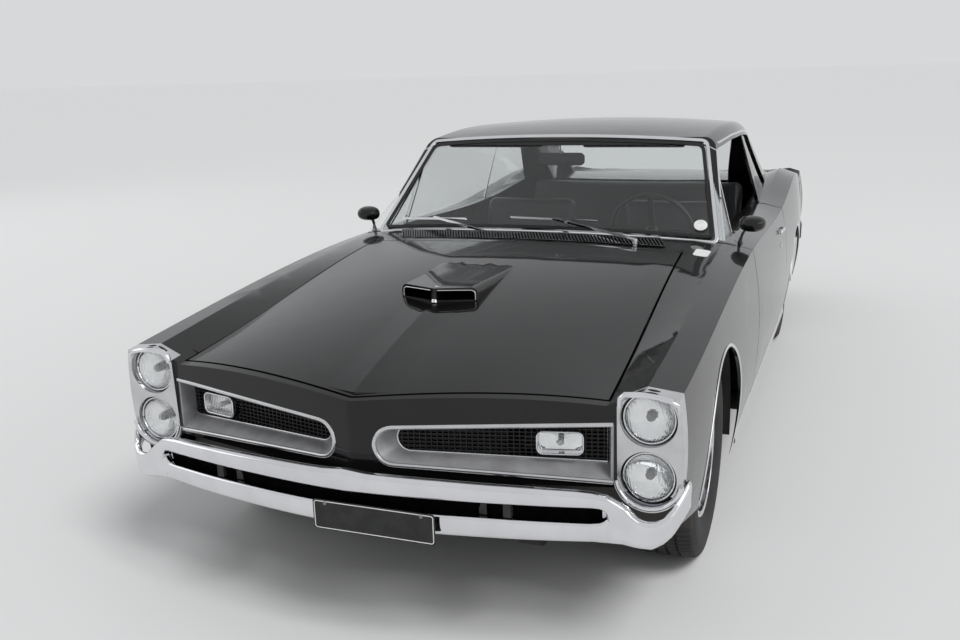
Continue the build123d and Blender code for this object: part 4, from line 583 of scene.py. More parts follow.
def mesh_of(name: str, shape: Shape) -> bpy.types.Mesh:
    """Turns a shape into a mesh without doubles whose faces point outwards.

    Args:
        name: Name of the mesh.
        shape: Its points and faces.

    Returns:
        The mesh.
    """
    bm = bmesh.new()
    for v in shape.verts:
        bm.verts.new(v)
    bm.verts.ensure_lookup_table()
    for face in shape.faces:
        corners = list(dict.fromkeys(face))
        if len(corners) > 2:
            try:
                bm.faces.new([bm.verts[i] for i in corners])
            except ValueError:
                LOG.debug("face given twice in %s", name)
    mesh = bpy.data.meshes.new(name)
    close_mesh(bm, mesh)
    return mesh


def close_mesh(bm: bmesh.types.BMesh, mesh: bpy.types.Mesh) -> None:
    """Merges doubles, turns the faces outwards and writes the result to a mesh.

    Args:
        bm: The working mesh, which is freed.
        mesh: The mesh that takes the result.
    """
    bmesh.ops.remove_doubles(bm, verts=bm.verts, dist=DOUBLES)
    bmesh.ops.recalc_face_normals(bm, faces=bm.faces)
    for face in bm.faces:
        face.material_index = 0
    bm.to_mesh(mesh)
    bm.free()


def apply_modifiers(obj: bpy.types.Object) -> None:
    """Replaces an object's mesh by what its modifiers make of it, and removes them.

    Args:
        obj: The object.
    """
    graph = bpy.context.evaluated_depsgraph_get()
    made = bpy.data.meshes.new_from_object(obj.evaluated_get(graph))
    obj.modifiers.clear()
    old = obj.data
    obj.data = made
    bpy.data.meshes.remove(old)
    bm = bmesh.new()
    bm.from_mesh(made)
    close_mesh(bm, made)
    made.materials.clear()


def mark_sharp(mesh: bpy.types.Mesh, fold: float) -> None:
    """Shades a mesh smooth, apart from edges that fold by more than an angle.

    Args:
        mesh: The mesh.
        fold: The angle, in degrees.
    """
    limit = math.radians(fold)
    bm = bmesh.new()
    bm.from_mesh(mesh)
    for face in bm.faces:
        face.smooth = True
    for edge in bm.edges:
        edge.smooth = len(edge.link_faces) == 2 and edge.calc_face_angle(0.0) < limit
    bm.to_mesh(mesh)
    bm.free()


def loft(
    rows: Sequence[Sequence[Point]], ring: bool = False, loop: bool = False, caps: bool = False
) -> Shape:
    """Lays faces over rows of points.

    Args:
        rows: The rows, each with as many points.
        ring: Whether each row closes on itself.
        loop: Whether the last row joins the first.
        caps: Whether the first and the last row are closed by a face.

    Returns:
        The sheet or tube.
    """
    count, width = len(rows), len(rows[0])
    shape = Shape([Vector(point) for row in rows for point in row])
    for i in range(count if loop else count - 1):
        a, b = i * width, (i + 1) % count * width
        for k in range(width if ring else width - 1):
            n = (k + 1) % width
            shape.faces.append((a + k, a + n, b + n, b + k))
    if caps:
        shape.faces.append(tuple(range(width)))
        shape.faces.append(tuple(reversed(range((count - 1) * width, count * width))))
    return shape


def sweep(path: Sequence[Point], section: Section, up: Point, closed: bool = False) -> Shape:
    """Carries a section along a path.

    Args:
        path: Points of the path.
        section: Points of the section, as distances sideways and along up.
        up: Direction that the section's height lies nearest to.
        closed: Whether the path returns to its start.

    Returns:
        A closed tube of that section.
    """
    points = [Vector(p) for p in path]
    last = len(points) - 1
    rows = []
    for i, point in enumerate(points):
        before = points[i - 1] if closed or i else points[0]
        after = points[(i + 1) % len(points)] if closed or i < last else points[-1]
        along = (after - before).normalized()
        side = along.cross(Vector(up)).normalized()
        high = side.cross(along)
        rows.append([point + side * a + high * b for a, b in section])
    return loft(rows, ring=True, loop=closed, caps=not closed)


def lathe(profile: Section, centre: Point, axis: Point, count: int = 48) -> Shape:
    """Turns a profile round an axis.

    Args:
        profile: Distances along the axis, and radii.
        centre: Point from which the distances count.
        axis: Direction of the axis.
        count: Steps of a whole turn.

    Returns:
        The turned shape.
    """
    axle = Vector(axis).normalized()
    side = axle.orthogonal().normalized()
    other = axle.cross(side)
    rows = []
    for k in range(count):
        turn = math.tau * k / count
        out = side * math.cos(turn) + other * math.sin(turn)
        rows.append([Vector(centre) + axle * a + out * r for a, r in profile])
    return loft(rows, loop=True)


def round_section(width: float, height: float, count: int = 10) -> Section:
    """Draws an ellipse as a section.

    Args:
        width: Its size sideways.
        height: Its size along up.
        count: How many points it has.

    Returns:
        The section.
    """
    turns = [math.tau * k / count for k in range(count)]
    return [(width / 2 * math.cos(t), height / 2 * math.sin(t)) for t in turns]


def bar_section(width: float, height: float, bevel: float = 0.0012) -> Section:
    """Draws a rectangle with two cut corners as a section that stands on the path.

    Args:
        width: Its size sideways.
        height: Its size along up.
        bevel: Size of the cuts at its top.

    Returns:
        The section.
    """
    w, b = width / 2, bevel
    return [(-w, 0), (w, 0), (w, height - b), (w - b, height), (b - w, height), (-w, height - b)]


def arc_through(a: Point, b: Point, c: Point, count: int) -> list[tuple[float, float]]:
    """Finds points on a circle in a plane.

    Args:
        a: Start of the arc.
        b: Point that it passes through.
        c: Its end.
        count: How many points it gets.

    Returns:
        The points from a to c.
    """
    (ax, ay), (bx, by), (cx, cy) = a, b, c
    d = 2 * (ax * (by - cy) + bx * (cy - ay) + cx * (ay - by))
    ux = ((ax**2 + ay**2) * (by - cy) + (bx**2 + by**2) * (cy - ay) + (cx**2 + cy**2) * (ay - by)) / d
    uy = ((ax**2 + ay**2) * (cx - bx) + (bx**2 + by**2) * (ax - cx) + (cx**2 + cy**2) * (bx - ax)) / d
    radius = math.hypot(ax - ux, ay - uy)
    start, middle, end = (math.atan2(y - uy, x - ux) for x, y in (a, b, c))
    span = (end - start) % math.tau
    if (middle - start) % math.tau > span:
        span -= math.tau
    turns = [start + span * k / (count - 1) for k in range(count)]
    return [(ux + radius * math.cos(t), uy + radius * math.sin(t)) for t in turns]


def between(table: Section, place: float) -> float:
    """Reads a value from a table, in straight lines between its rows.

    Args:
        table: Places and values.
        place: Place that is looked up.

    Returns:
        The value there, or at the nearer end of the table.
    """
    if place <= table[0][0]:
        return table[0][1]
    for (a, va), (b, vb) in zip(table, table[1:]):
        if place <= b:
            return va + (vb - va) * (place - a) / (b - a)
    return table[-1][1]


def box_shape(low: Point, high: Point) -> Shape:
    """Makes a block.

    Args:
        low: Its lowest corner.
        high: Its highest corner.

    Returns:
        The block.
    """
    xs, ys, zs = zip(low, high)
    verts = [Vector((x, y, z)) for x in xs for y in ys for z in zs]
    faces = [(0, 1, 3, 2), (4, 6, 7, 5), (0, 4, 5, 1), (2, 3, 7, 6), (0, 2, 6, 4), (1, 5, 7, 3)]
    return Shape(verts, faces)


def round_rectangle(width: float, height: float, radius: float, steps: int = 6) -> list[tuple[float, float]]:
    """Draws a rectangle with round corners about its middle.

    Args:
        width: Its width.
        height: Its height.
        radius: Radius of its corners.
        steps: Steps of each corner.

    Returns:
        The closed outline.
    """
    points = []
    for k, (sx, sy) in enumerate(((1, 1), (-1, 1), (-1, -1), (1, -1))):
        for i in range(steps + 1):
            turn = math.pi / 2 * (k + i / steps)
            points.append((
                sx * (width / 2 - radius) + radius * math.cos(turn),
                sy * (height / 2 - radius) + radius * math.sin(turn),
            ))
    return points


def plate_of(
    outline: Sequence[Vector], out: Vector, thick: float, dome: float = 0.0, rings: int = 4
) -> Shape:
    """Makes a thin plate from its outline.

    Args:
        outline: Points of its edge.
        out: Direction that it faces.
        thick: Its thickness.
        dome: How far its middle stands out.
        rings: Steps from the edge to the middle.

    Returns:
        The closed plate.
    """
    centre = sum(outline, Vector()) / len(outline)
    shape = Shape()
    count = len(outline)
    for side, shift in ((0, 0.0), (1, thick)):
        for ring in range(rings):
            share = 1 - ring / rings
            lift = shift + dome * (1 - share**2)
            shape.verts += [centre + (p - centre) * share + out * lift for p in outline]
        shape.verts.append(centre + out * (shift + dome))
        base = side * (count * rings + 1)
        for ring in range(rings - 1):
            a, b = base + ring * count, base + (ring + 1) * count
            shape.faces += [(a + k, a + (k + 1) % count, b + (k + 1) % count, b + k) for k in range(count)]
        last, tip = base + (rings - 1) * count, base + rings * count
        shape.faces += [(last + k, last + (k + 1) % count, tip) for k in range(count)]
    top = count * rings + 1
    shape.faces += [(k, (k + 1) % count, top + (k + 1) % count, top + k) for k in range(count)]
    return shape


@dataclass
class Assembly:
    """Sub-assembly of the car, which keeps the pieces that it makes."""

    car: Car
    pieces: list[bpy.types.Object] = field(default_factory=list, init=False, repr=False)

    def build(self) -> None:
        """Makes the pieces."""
        raise NotImplementedError

    def piece(
        self, name: str, shape: Shape, finish: str, body: str = ROOT, fold: float = FOLD, subdivide: int = 0,
        copies: Copies | None = None,
    ) -> bpy.types.Object:
        """Turns a shape into an object that rides on a body.

        Args:
            name: Name of the object.
            shape: Its mesh data.
            finish: Name of its finish.
            body: CAD body that it rides on.
            fold: Edges that fold by more than this stay sharp, in degrees.
            subdivide: Rounds of subdivision.
            copies: How the shape is repeated, if it is.

        Returns:
            The new object.
        """
        obj = new_object(name, mesh_of(name, shape))
        if copies:
            copy_tree().attach(obj, copies, material_of(finish))
        if subdivide:
            modifier = obj.modifiers.new("round", "SUBSURF")
            modifier.levels = modifier.render_levels = subdivide
        if obj.modifiers:
            apply_modifiers(obj)
        mark_sharp(obj.data, fold)
        obj.data.materials.append(material_of(finish))
        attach(obj, body)
        self.pieces.append(obj)
        return obj


@dataclass
class Panels(Assembly):
    """CAD nodes that show as they are, with a smoothly shaded copy for each body panel and wheel."""

    merge: float = 2e-5
    fold: float = 20

    def build(self) -> None:
        """Gives every CAD node its finish and makes the smooth copies."""
        for finish, names in NODE_FINISH.items():
            for name in names.split():
                materials = self.car.nodes[name].data.materials
                materials.clear()
                materials.append(material_of(finish))
        for name in SMOOTH_NODES:
            self._smooth(name)

    def _smooth(self, name: str) -> None:
        """Stands a copy with merged points and smooth shading in for a CAD node.

        Args:
            name: Name of the node.
        """
        node = self.car.nodes[name]
        mesh = bpy.data.meshes.new(f"{name}_skin")
        bm = bmesh.new()
        bm.from_mesh(node.data)
        bmesh.ops.remove_doubles(bm, verts=bm.verts, dist=self.merge)
        bmesh.ops.dissolve_degenerate(bm, edges=bm.edges, dist=DOUBLES)
        bm.to_mesh(mesh)
        bm.free()
        mark_sharp(mesh, self.fold)
        obj = new_object(f"{name}_skin", mesh)
        mesh.materials.clear()
        mesh.materials.append(node.data.materials[0])
        weighted = obj.modifiers.new("even_shading", "WEIGHTED_NORMAL")
        weighted.keep_sharp = True
        weighted.weight = 80
        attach(obj, self.car.body_of[name])
        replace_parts(obj, name)
        self.pieces.append(obj)


@dataclass(frozen=True)
class GrilleOutline:
    """Grille outline on the grille face, in millimetres from the nose tip and from mid height."""

    x_round: float
    x_in: float
    low_in: float
    top_in: float
    x_out: float
    low_out: float
    top_out: float

    def points(self) -> list[tuple[float, float]]:
        """Draws the open outline.

        Returns:
            Points from the outer top corner round the inner end to the outer bottom corner.
        """
        middle = (self.low_in + self.top_in) / 2
        bend = arc_through((self.x_in, self.top_in), (self.x_round, middle), (self.x_in, self.low_in), 15)
        return [(self.x_out, self.top_out), *bend, (self.x_out, self.low_out)]


@dataclass
class Grilles(Assembly):
    """Bright rims of the grille recesses and of their meshes, and the parking lamps in them."""

    tip: Spot = (2.550, 0.0, 0.600)
    slant: tuple[float, float] = (-0.167, 0.733)  # back and outwards
    window: GrilleOutline = GrilleOutline(66, 120, -54, 60, 740, -85, 84)
    mesh_edge: GrilleOutline = GrilleOutline(122, 160, -30, 50, 724, -46, 72)
    mesh_depth: float = 55
    lamp: tuple[float, float] = (592, 13)  # along and over mid height
    lamp_size: Spot = (130, 66, 18)  # width, height and corner radius
    lamp_rim: float = 34
    lamp_lens: float = 36
    lamp_back: float = 70
    bulb: Pairs = ((0, 0), (0, 0.008), (0.008, 0.008), (0.012, 0.010), (0.02, 0.008), (0.024, 0))
    rim_fold: float = 50

    def __post_init__(self) -> None:
        """Works out the directions along and out of the left grille's face."""
        x, y = self.slant
        self.along = Vector((x, y, 0)).normalized()
        self.out = Vector((y, -x, 0)).normalized()

    def at(self, along: float, high: float, depth: float = 0.0) -> Vector:
        """Finds a point on the left grille's face or behind it, from millimetres.

        Args:
            along: Distance from the nose tip, outwards.
            high: Height over mid height.
            depth: Distance behind the face.

        Returns:
            The point.
        """
        flat = Vector(self.tip) + self.along * (along * MM) + Vector((0, 0, high * MM))
        return flat - self.out * (depth * MM)

    def _lamp_at(self, depth: float, across: float = 1.0, up: float = 1.0) -> list[Vector]:
        """Draws the parking lamp's outline.

        Args:
            depth: Distance behind the grille's face.
            across: Share of its width.
            up: Share of its height.

        Returns:
            The closed outline.
        """
        outline = round_rectangle(*self.lamp_size)
        return [self.at(self.lamp[0] + u * across, self.lamp[1] + v * up, depth) for u, v in outline]

    def build(self) -> None:
        """Makes the rims and the parking lamps."""
        opening = [self.at(u, v, -1) for u, v in self.window.points()]
        rim = sweep(opening, round_section(0.013, 0.009), self.out)
        self.piece("grille_rims", rim.both_sides(), "satin_metal", fold=self.rim_fold)
        edge = [self.at(u, v, self.mesh_depth) for u, v in self.mesh_edge.points()]
        inner = sweep(edge, round_section(0.008, 0.008), self.out, closed=True)
        self.piece("mesh_rims", inner.both_sides(), "satin_metal", fold=self.rim_fold)
        front = self._lamp_at(self.lamp_rim)
        bright = sweep(front, round_section(0.006, 0.008), self.out, closed=True)
        self.piece("parking_lamp_rims", bright.both_sides(), "chrome_plate", fold=self.rim_fold)
        cups = loft([front, self._lamp_at(self.lamp_back)], ring=True).both_sides()
        cups.add(plate_of(self._lamp_at(self.lamp_back - 4), self.out, 0.002, -0.004).both_sides())
        housing = self.piece("parking_lamp_cups", cups, "reflector")
        lens = plate_of(self._lamp_at(self.lamp_lens, 0.97, 0.95), self.out, 0.003, 0.004)
        self.piece("parking_lamp_lenses", lens.both_sides(), "lamp_glass")
        bulb = lathe(self.bulb, self.at(self.lamp[0], self.lamp[1] - 2, self.lamp_back - 8), self.out, 20)
        self.piece("parking_lamp_bulbs", bulb.both_sides(), "white_enamel")
        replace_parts(housing, "front_lamps")


@dataclass
class Headlamps(Assembly):
    """Sealed beams: silvered bowls, fluted lenses, rings, seals and shields, and the frames round them."""

    x: float = 2.350
    y: float = 0.819
    heights: tuple[float, float] = (0.708, 0.539)
    bowl: Pairs = ((0.002, 0), (0.0035, 0.02), (0.008, 0.04), (0.016, 0.058), (0.022, 0.067), (0.024, 0.069))
    lens: Pairs = (
        (0.034, 0), (0.0335, 0.02), (0.031, 0.042), (0.027, 0.058), (0.022, 0.068),
        (0.020, 0.068), (0.024, 0.057), (0.028, 0.041), (0.0305, 0.02), (0.031, 0),
    )
    ring: Pairs = (
        (0.014, 0.069), (0.024, 0.067), (0.027, 0.069), (0.027, 0.072), (0.020, 0.0745), (0.012, 0.0745),
        (0.014, 0.069),
    )
    seal: Pairs = ((0.010, 0.0745), (0.016, 0.0745), (0.016, 0.079), (0.010, 0.079), (0.010, 0.0745))
    shield: Pairs = ((0.004, 0.014), (0.012, 0.013), (0.018, 0.010), (0.020, 0))
    chin_turns: tuple[float, float] = (188, 352)
    chin_radius: float = 0.090
    chin_section: tuple[float, float] = (0.018, 0.026)
    chin_ahead: float = 0.036
    bowl_wall: Pairs = ((0.012, 0.0775), (0.037, 0.084))
    brow: tuple[Spot, ...] = (
        (2.396, 0.740, 0.745), (2.400, 0.743, 0.766), (2.403, 0.757, 0.779), (2.403, 0.800, 0.782),
        (2.401, 0.845, 0.778), (2.396, 0.880, 0.769), (2.390, 0.897, 0.758), (2.384, 0.901, 0.735),
    )

    def _turned(self, profile: Pairs, count: int) -> Shape:
        """Turns a profile round the axis of all four lamps.

        Args:
            profile: Distances ahead and radii.
            count: Steps of a whole turn.

        Returns:
            The four turned shapes.
        """
        shape = Shape()
        for z in self.heights:
            shape.add(lathe(profile, (self.x, self.y, z), AHEAD, count))
        return shape.both_sides()

    def _below(self, turn: float, ahead: float, radius: float) -> Vector:
        """Finds a point round the lower lamp.

        Args:
            turn: Its turn in degrees.
            ahead: Distance ahead of the lamp's middle.
            radius: Distance from the lamp's axis.

        Returns:
            The point.
        """
        angle = math.radians(turn)
        out = Vector((0, math.cos(angle), math.sin(angle)))
        return Vector((self.x + ahead, self.y, self.heights[1])) + out * radius

    def build(self) -> None:
        """Makes the lamps, the chins under them and the brows over them."""
        self.piece("headlamp_bowls", self._turned(self.bowl, 40), "reflector")
        self.piece("headlamp_lenses", self._turned(self.lens, 40), "lamp_glass")
        self.piece("headlamp_rings", self._turned(self.ring, 48), "chrome_plate")
        self.piece("headlamp_seals", self._turned(self.seal, 40), "seal")
        steps = 32
        first, last = self.chin_turns
        path = [
            self._below(first + (last - first) * k / steps, self.chin_ahead, self.chin_radius)
            for k in range(steps + 1)
        ]
        chins = sweep(path, round_section(*self.chin_section, count=12), AHEAD)
        chins.add(loft([
            [self._below(180 + 180 * k / steps, ahead, radius) for ahead, radius in self.bowl_wall]
            for k in range(steps + 1)
        ]))
        self.piece("headlamp_chins", chins.both_sides(), "chrome_plate", fold=60)
        self.piece("headlamp_shields", self._turned(self.shield, 24), "grille_grey")
        brows = sweep(self.brow, round_section(0.016, 0.022), AHEAD).both_sides()
        self.piece("headlamp_brows", brows, "chrome_plate", fold=50)


@dataclass(frozen=True)
class BumperBar:
    """Plan arcs of a bumper's left half, and heights against the distance from its middle, in millimetres."""

    plan: Pairs
    top: Pairs
    foot: Pairs
    slot_top: Pairs
    slot_foot: Pairs
    slot_end: float
    back: Pairs = ((0, 46), (800, 46), (880, 22), (960, 12))
    inset: float = 0.0015

    def path(self) -> list[tuple[float, float]]:
        """Draws the plan of the whole bar.

        Returns:
            Points from its right end to its left one.
        """
        a, b, c, d, e = self.plan
        half = arc_through(a, b, c, 120)[:-1] + arc_through(c, d, e, 36)
        return [(x, -y) for x, y in half[:0:-1]] + half

    def section(self, far: float) -> list[tuple[float, float]]:
        """Draws the section at a distance from the middle.

        Args:
            far: The distance.

        Returns:
            Distances out of the bar's line, and heights.
        """
        top, foot = between(self.top, far), between(self.foot, far)
        high = low = (top + foot) / 2
        deep = 0.0
        if far < self.slot_end:
            high, low, deep = between(self.slot_top, far), between(self.slot_foot, far), 1.0
        back = between(self.back, far)
        drop = min(12.0, (top - high) / 4, (low - foot) / 4)
        lip = min(8.0, (top - high) / 5)
        return [
            (-back, top - 14), (-back * 0.65, top - 3), (-back * 0.35, top), (-6, top - drop * 0.25),
            (-1.5, top - drop * 0.6),
            (0, top - drop), (1.5, (top + high) / 2), (0.5, high + lip), (-2 * deep, high + 2 * deep),
            (-8 * deep, high), (-36 * deep, high), (-36 * deep, low), (-16 * deep, low),
            (-10 * deep, low - 2 * deep), (-8 * deep, low - lip), (-7 * deep, (low + foot) / 2),
            (-8 * deep, foot + drop), (-back * 0.26, foot + drop * 0.3), (-back * 0.4, foot),
            (-back * 0.8, foot + 4), (-back, foot + 14),
        ]

    def shape(self) -> Shape:
        """Makes the bar.

        Returns:
            A closed bar with a crowned face, round edges and a long slot that closes towards its ends.
        """
        path = self.path()
        rows = []
        for i, (x, y) in enumerate(path):
            before, after = path[max(i - 1, 0)], path[min(i + 1, len(path) - 1)]
            out = Vector((after[1] - before[1], before[0] - after[0], 0)).normalized() * math.copysign(1, x)
            rows.append([
                Vector((x, y, z)) * MM + out * (o * MM - self.inset) for o, z in self.section(abs(y))
            ])
        return loft(rows, ring=True, caps=True)

    def _x_at(self, y: float) -> float:
        """Forward place of the middle plan arc at a distance from the middle."""
        return between([(q, p) for p, q in arc_through(*self.plan[:3], 24)], abs(y))

    def slot_painted_shade(self, reach: float = 722, steps: int = 60) -> Shape:
        """Makes the dark sheet that closes the slot from behind, painted shade for the slot's inside.

        Args:
            reach: How far it goes to each side.
            steps: Steps from one end to the other.

        Returns:
            The open sheet.
        """
        rows = []
        for i in range(steps + 1):
            y = reach * (2 * i / steps - 1)
            near = [self._x_at(y + shift) for shift in (-1, 1)]
            out = Vector((2, near[0] - near[1], 0)).normalized()
            high, low = between(self.slot_top, abs(y)), between(self.slot_foot, abs(y))
            edge = ((-30, high - 1), (-33, low + 1), (-25, low + 0.7))
            rows.append([
                Vector((sum(near) / 2, y, z)) * MM + out * (o * MM - self.inset) for o, z in edge
            ])
        return loft(rows)


@dataclass
class Bumpers(Assembly):
    """Plated bars with their dark brackets, and the bare number plates."""

    front: BumperBar = BumperBar(
        plan=((2622.5, 0), (2578, 390), (2478, 770), (2424, 898), (2335, 930)),
        top=(
            (0, 556), (70, 549), (150, 547), (285, 545), (500, 538), (650, 530), (700, 524), (735, 515),
            (765, 494), (790, 470), (815, 452), (836, 446), (860, 445), (880, 452), (900, 472), (918, 502),
            (930, 528),
        ),
        foot=((0, 381), (390, 381), (700, 378), (800, 366), (852, 363), (880, 376), (900, 392), (930, 440)),
        slot_top=(
            (0, 490), (300, 490), (500, 487), (690, 482), (715, 479), (726, 472), (733, 462), (735, 459),
        ),
        slot_foot=(
            (0, 444), (400, 442), (600, 437), (690, 434), (715, 436), (726, 442), (733, 453), (735, 458),
        ),
        slot_end=735,
    )
    rear: BumperBar = BumperBar(
        plan=((-2618, 0), (-2610, 400), (-2588, 760), (-2557, 864), (-2450, 896)),
        top=((0, 512), (500, 512), (860, 520), (960, 535)),
        foot=((0, 388), (500, 388), (860, 392), (960, 420)),
        slot_top=((0, 452), (960, 478)),
        slot_foot=((0, 452), (960, 478)),
        slot_end=0,
    )
    front_plate: tuple[Spot, float] = ((2.6140, 0.0905, 0.409), 0.012)
    rear_plate: tuple[Spot, float] = ((-2.6180, 0.0, 0.452), math.pi)
    plate_size: Spot = (380, 92, 8)  # width, height and corner radius
    border_size: Spot = (370, 82, 7)
    screw: Pairs = ((0.002, 0), (0.002, 0.006), (0.0045, 0.005), (0.0055, 0))
    screw_gap: float = 0.30

    def build(self) -> None:
        """Makes the bars, what carries them and the plates."""
        for end, bar in (("front", self.front), ("rear", self.rear)):
            obj = self.piece(f"{end}_bumper_bar", bar.shape(), "chrome_plate", fold=60)
            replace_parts(obj, f"{end}_bumper")
        # Painted shade: a flat black sheet behind the slot stands in for the shade inside it.
        self.piece("bumper_slot_painted_shade", self.front.slot_painted_shade(), "painted_shade_black")
        brackets = Shape()
        for y in (0.385, 0.455):
            brackets.add(box_shape((2.526, y, 0.444), (2.545, y + 0.022, 0.488)))
        self.piece("bumper_slot_brackets", brackets.both_sides(), "chassis_black")
        irons = Shape()
        for y in (0.40, 0.44):
            irons.add(box_shape((2.440, y - 0.012, 0.396), (2.540, y + 0.012, 0.438)))
            irons.add(box_shape((2.440, y - 0.020, 0.346), (2.452, y + 0.020, 0.438)))
        self.piece("front_bumper_irons", irons.both_sides(), "chassis_black")
        rear_irons = box_shape((-2.585, 0.545, 0.412), (-2.395, 0.575, 0.448))
        self.piece("rear_bumper_irons", rear_irons.both_sides(), "chassis_black")
        self._plate("front", *self.front_plate)
        self._plate("rear", *self.rear_plate)

    def _plate(self, end: str, place: Point, turn: float) -> None:
        """Makes a bare number plate with its border and two screws.

        Args:
            end: End of the car that it is on.
            place: Middle of its back.
            turn: Its turn about the vertical, in radians.
        """
        matrix = Matrix.Translation(place) @ Matrix.Rotation(turn, 4, "Z")
        outline = [Vector((0, u * MM, v * MM)) for u, v in round_rectangle(*self.plate_size)]
        sheet = plate_of(outline, Vector(AHEAD), 0.002)
        self.piece(f"{end}_plate", sheet.moved(matrix), "plate_black")
        edge = [(0.0022, u * MM, v * MM) for u, v in round_rectangle(*self.border_size)]
        rim = sweep(edge, bar_section(0.0025, 0.0008, 0.0002), AHEAD, closed=True)
        self.piece(f"{end}_plate_border", rim.moved(matrix), "white_enamel")
        screw = lathe(self.screw, (0, -self.screw_gap / 2, 0.036), AHEAD, 12)
        step = matrix.to_3x3() @ Vector((0, self.screw_gap, 0))
        pair = Copies(2, step=tuple(step))
        self.piece(f"{end}_plate_screws", screw.moved(matrix), "steel", copies=pair)


@dataclass(frozen=True)
class Screen:
    """Outer surface and outline of the windshield."""

    foot: float = 0.940
    rise: float = 0.349
    side: tuple[float, float] = (0.806, 0.768)
    side_lean: tuple[float, float] = (0.371, 0.105)
    middle: float = 0.899
    middle_lean: float = 0.364
    ends: tuple[float, float] = (0.928, 1.296)
    corner: float = 0.024

    def x_at(self, y: float, z: float) -> float:
        """Finds the forward place of the surface.

        Args:
            y: Distance from the middle.
            z: Height.

        Returns:
            The place.
        """
        share = (z - self.foot) / self.rise
        side_x = self.side[0] - share * self.side_lean[0]
        side_y = self.side[1] - share * self.side_lean[1]
        centre_x = self.middle - share * self.middle_lean
        return centre_x - (centre_x - side_x) * (y / side_y) ** 2

    def _tip(self, z: float, inset: float) -> float:
        """Half the width of the outline at a height."""
        return self.side[1] - (z - self.foot) / self.rise * self.side_lean[1] - inset - 0.012

    def _edge(self, z: float, bow: float, half: float, inset: float) -> list[tuple[float, float]]:
        """Draws the upper or the lower edge from left to right, without its corners.

        Args:
            z: Height of its ends.
            bow: How far its middle stands higher.
            half: Half the width over which it falls off.
            inset: How far the outline lies inside the opening.

        Returns:
            Its Y and Z places.
        """
        reach = self._tip(z, inset) - self.corner
        across = [reach * (1 - k / 12) for k in range(25)]
        return [(y, z + bow * (1 - (y / half) ** 2)) for y in across]

    def outline(self, inset: float) -> list[tuple[float, float]]:
        """Draws the outline with its round corners.

        Args:
            inset: How far it lies inside the opening.

        Returns:
            Its closed row of Y and Z places.
        """
        low, high = self.ends[0] + inset, self.ends[1] - inset
        climb = [low + self.corner + (high - low - 2 * self.corner) * k / 14 for k in range(15)]
        runs = [
            self._edge(low, 0.030, 0.75, inset), [(-self._tip(z, inset), z) for z in climb],
            self._edge(high, 0.028, 0.66, inset)[::-1], [(self._tip(z, inset), z) for z in reversed(climb)],
        ]
        foot, head = self._tip(low, inset), self._tip(high, inset)
        tips = [(-foot, low), (-head, high), (head, high), (foot, low)]
        points: list[tuple[float, float]] = []
        for run, tip, after in zip(runs, tips, runs[1:] + runs[:1]):
            points += run
            start, bend, end = Vector(run[-1]), Vector(tip), Vector(after[0])
            for k in range(1, 6):
                t = k / 6
                points.append(tuple(start * (1 - t) ** 2 + bend * (2 * t * (1 - t)) + end * t**2))
        return points


SCREEN = Screen()


@dataclass
class ScreenTrim(Assembly):
    """Bright frame and dark seal round the windshield, and the drip rails over the doors."""

    up: Spot = (0.72, 0.0, 0.70)
    pillar: tuple[float, float] = (0.952, 1.262)
    stations: tuple[float, ...] = (0.44, 0.36, 0.2, 0.0, -0.2, -0.4, -0.55, -0.7, -0.82)
    rail_heights: Pairs = ((-0.9, 1.252), (-0.45, 1.288), (0.0, 1.296), (0.47, 1.284))

    def build(self) -> None:
        """Makes the frame, the seal and the rails."""
        frame = [(SCREEN.x_at(y, z) + 0.001, y, z) for y, z in SCREEN.outline(-0.006)]
        rim = sweep(frame, bar_section(0.016, 0.006, 0.002), self.up, closed=True)
        self.piece("windshield_frame", rim, "chrome_plate")
        lip = [(SCREEN.x_at(y, z) - 0.003, y, z) for y, z in SCREEN.outline(0.012)]
        self.piece("windshield_seal", sweep(lip, bar_section(0.016, 0.005), self.up, closed=True), "seal")
        rail = self._rail()
        for hand, sign in HANDS:
            path = [(x, sign * y, z) for x, y, z in rail]
            gutter = sweep(path, round_section(0.010, 0.008), (0, sign, 0.3))
            self.piece(f"drip_rail_{hand}", gutter, "chrome_plate", fold=50)

    def _rail(self) -> list[Spot]:
        """Finds the way of the left rail on the body's skin.

        Returns:
            Points up the pillar and back along the roof.
        """
        low, high = self.pillar
        places = []
        for k in range(13):
            z = low + (high - low) * k / 12
            places.append((0.806 - (z - 0.940) * 1.063 - 0.018, z))
        places += [(x, between(self.rail_heights, x) + 0.004) for x in self.stations]
        found = [(x, z, self.car.sides.side(x, z)) for x, z in places]
        return [(x, point.y + 0.002, z) for x, z, point in found if point]


@dataclass
class BodyTrim(Assembly):
    """Bright lips round the wheel openings and mouldings along the sills."""

    # Axle, radius, and first and last turn in degrees
    arches: tuple[tuple[float, float, float, float], ...] = (
        (AXLE_FRONT, 0.388, -12, 192), (AXLE_REAR, 0.355, -8, 188),
    )
    arch_height: float = 0.335
    widest: float = 0.941
    sill: Spot = (1.285, -0.855, 0.262)  # front end, rear end and height

    def build(self) -> None:
        """Makes the lips and the mouldings."""
        lips = Shape()
        for axle, radius, first, last in self.arches:
            path = []
            for k in range(41):
                turn = math.radians(first + (last - first) * k / 40)
                x, z = axle + radius * math.cos(turn), self.arch_height + radius * math.sin(turn)
                point = self.car.sides.side(x, z)
                if point and point.y > 0.82:
                    path.append((x, min(point.y + 0.001, self.widest), z))
            lips.add(sweep(path, round_section(0.012, 0.007), (0, 1, 0)))
        self.piece("arch_lips", lips.both_sides(), "chrome_plate", fold=50)
        front, rear, height = self.sill
        path = []
        for k in range(31):
            x = front - k * (front - rear) / 30
            point = self.car.sides.side(x, height)
            if point and point.y > 0.8:
                path.append((x, point.y + 0.0005, height))
        strip = sweep(path, bar_section(0.040, 0.005, 0.002), (0, 1, 0))
        self.piece("sill_mouldings", strip.both_sides(), "chrome_plate")


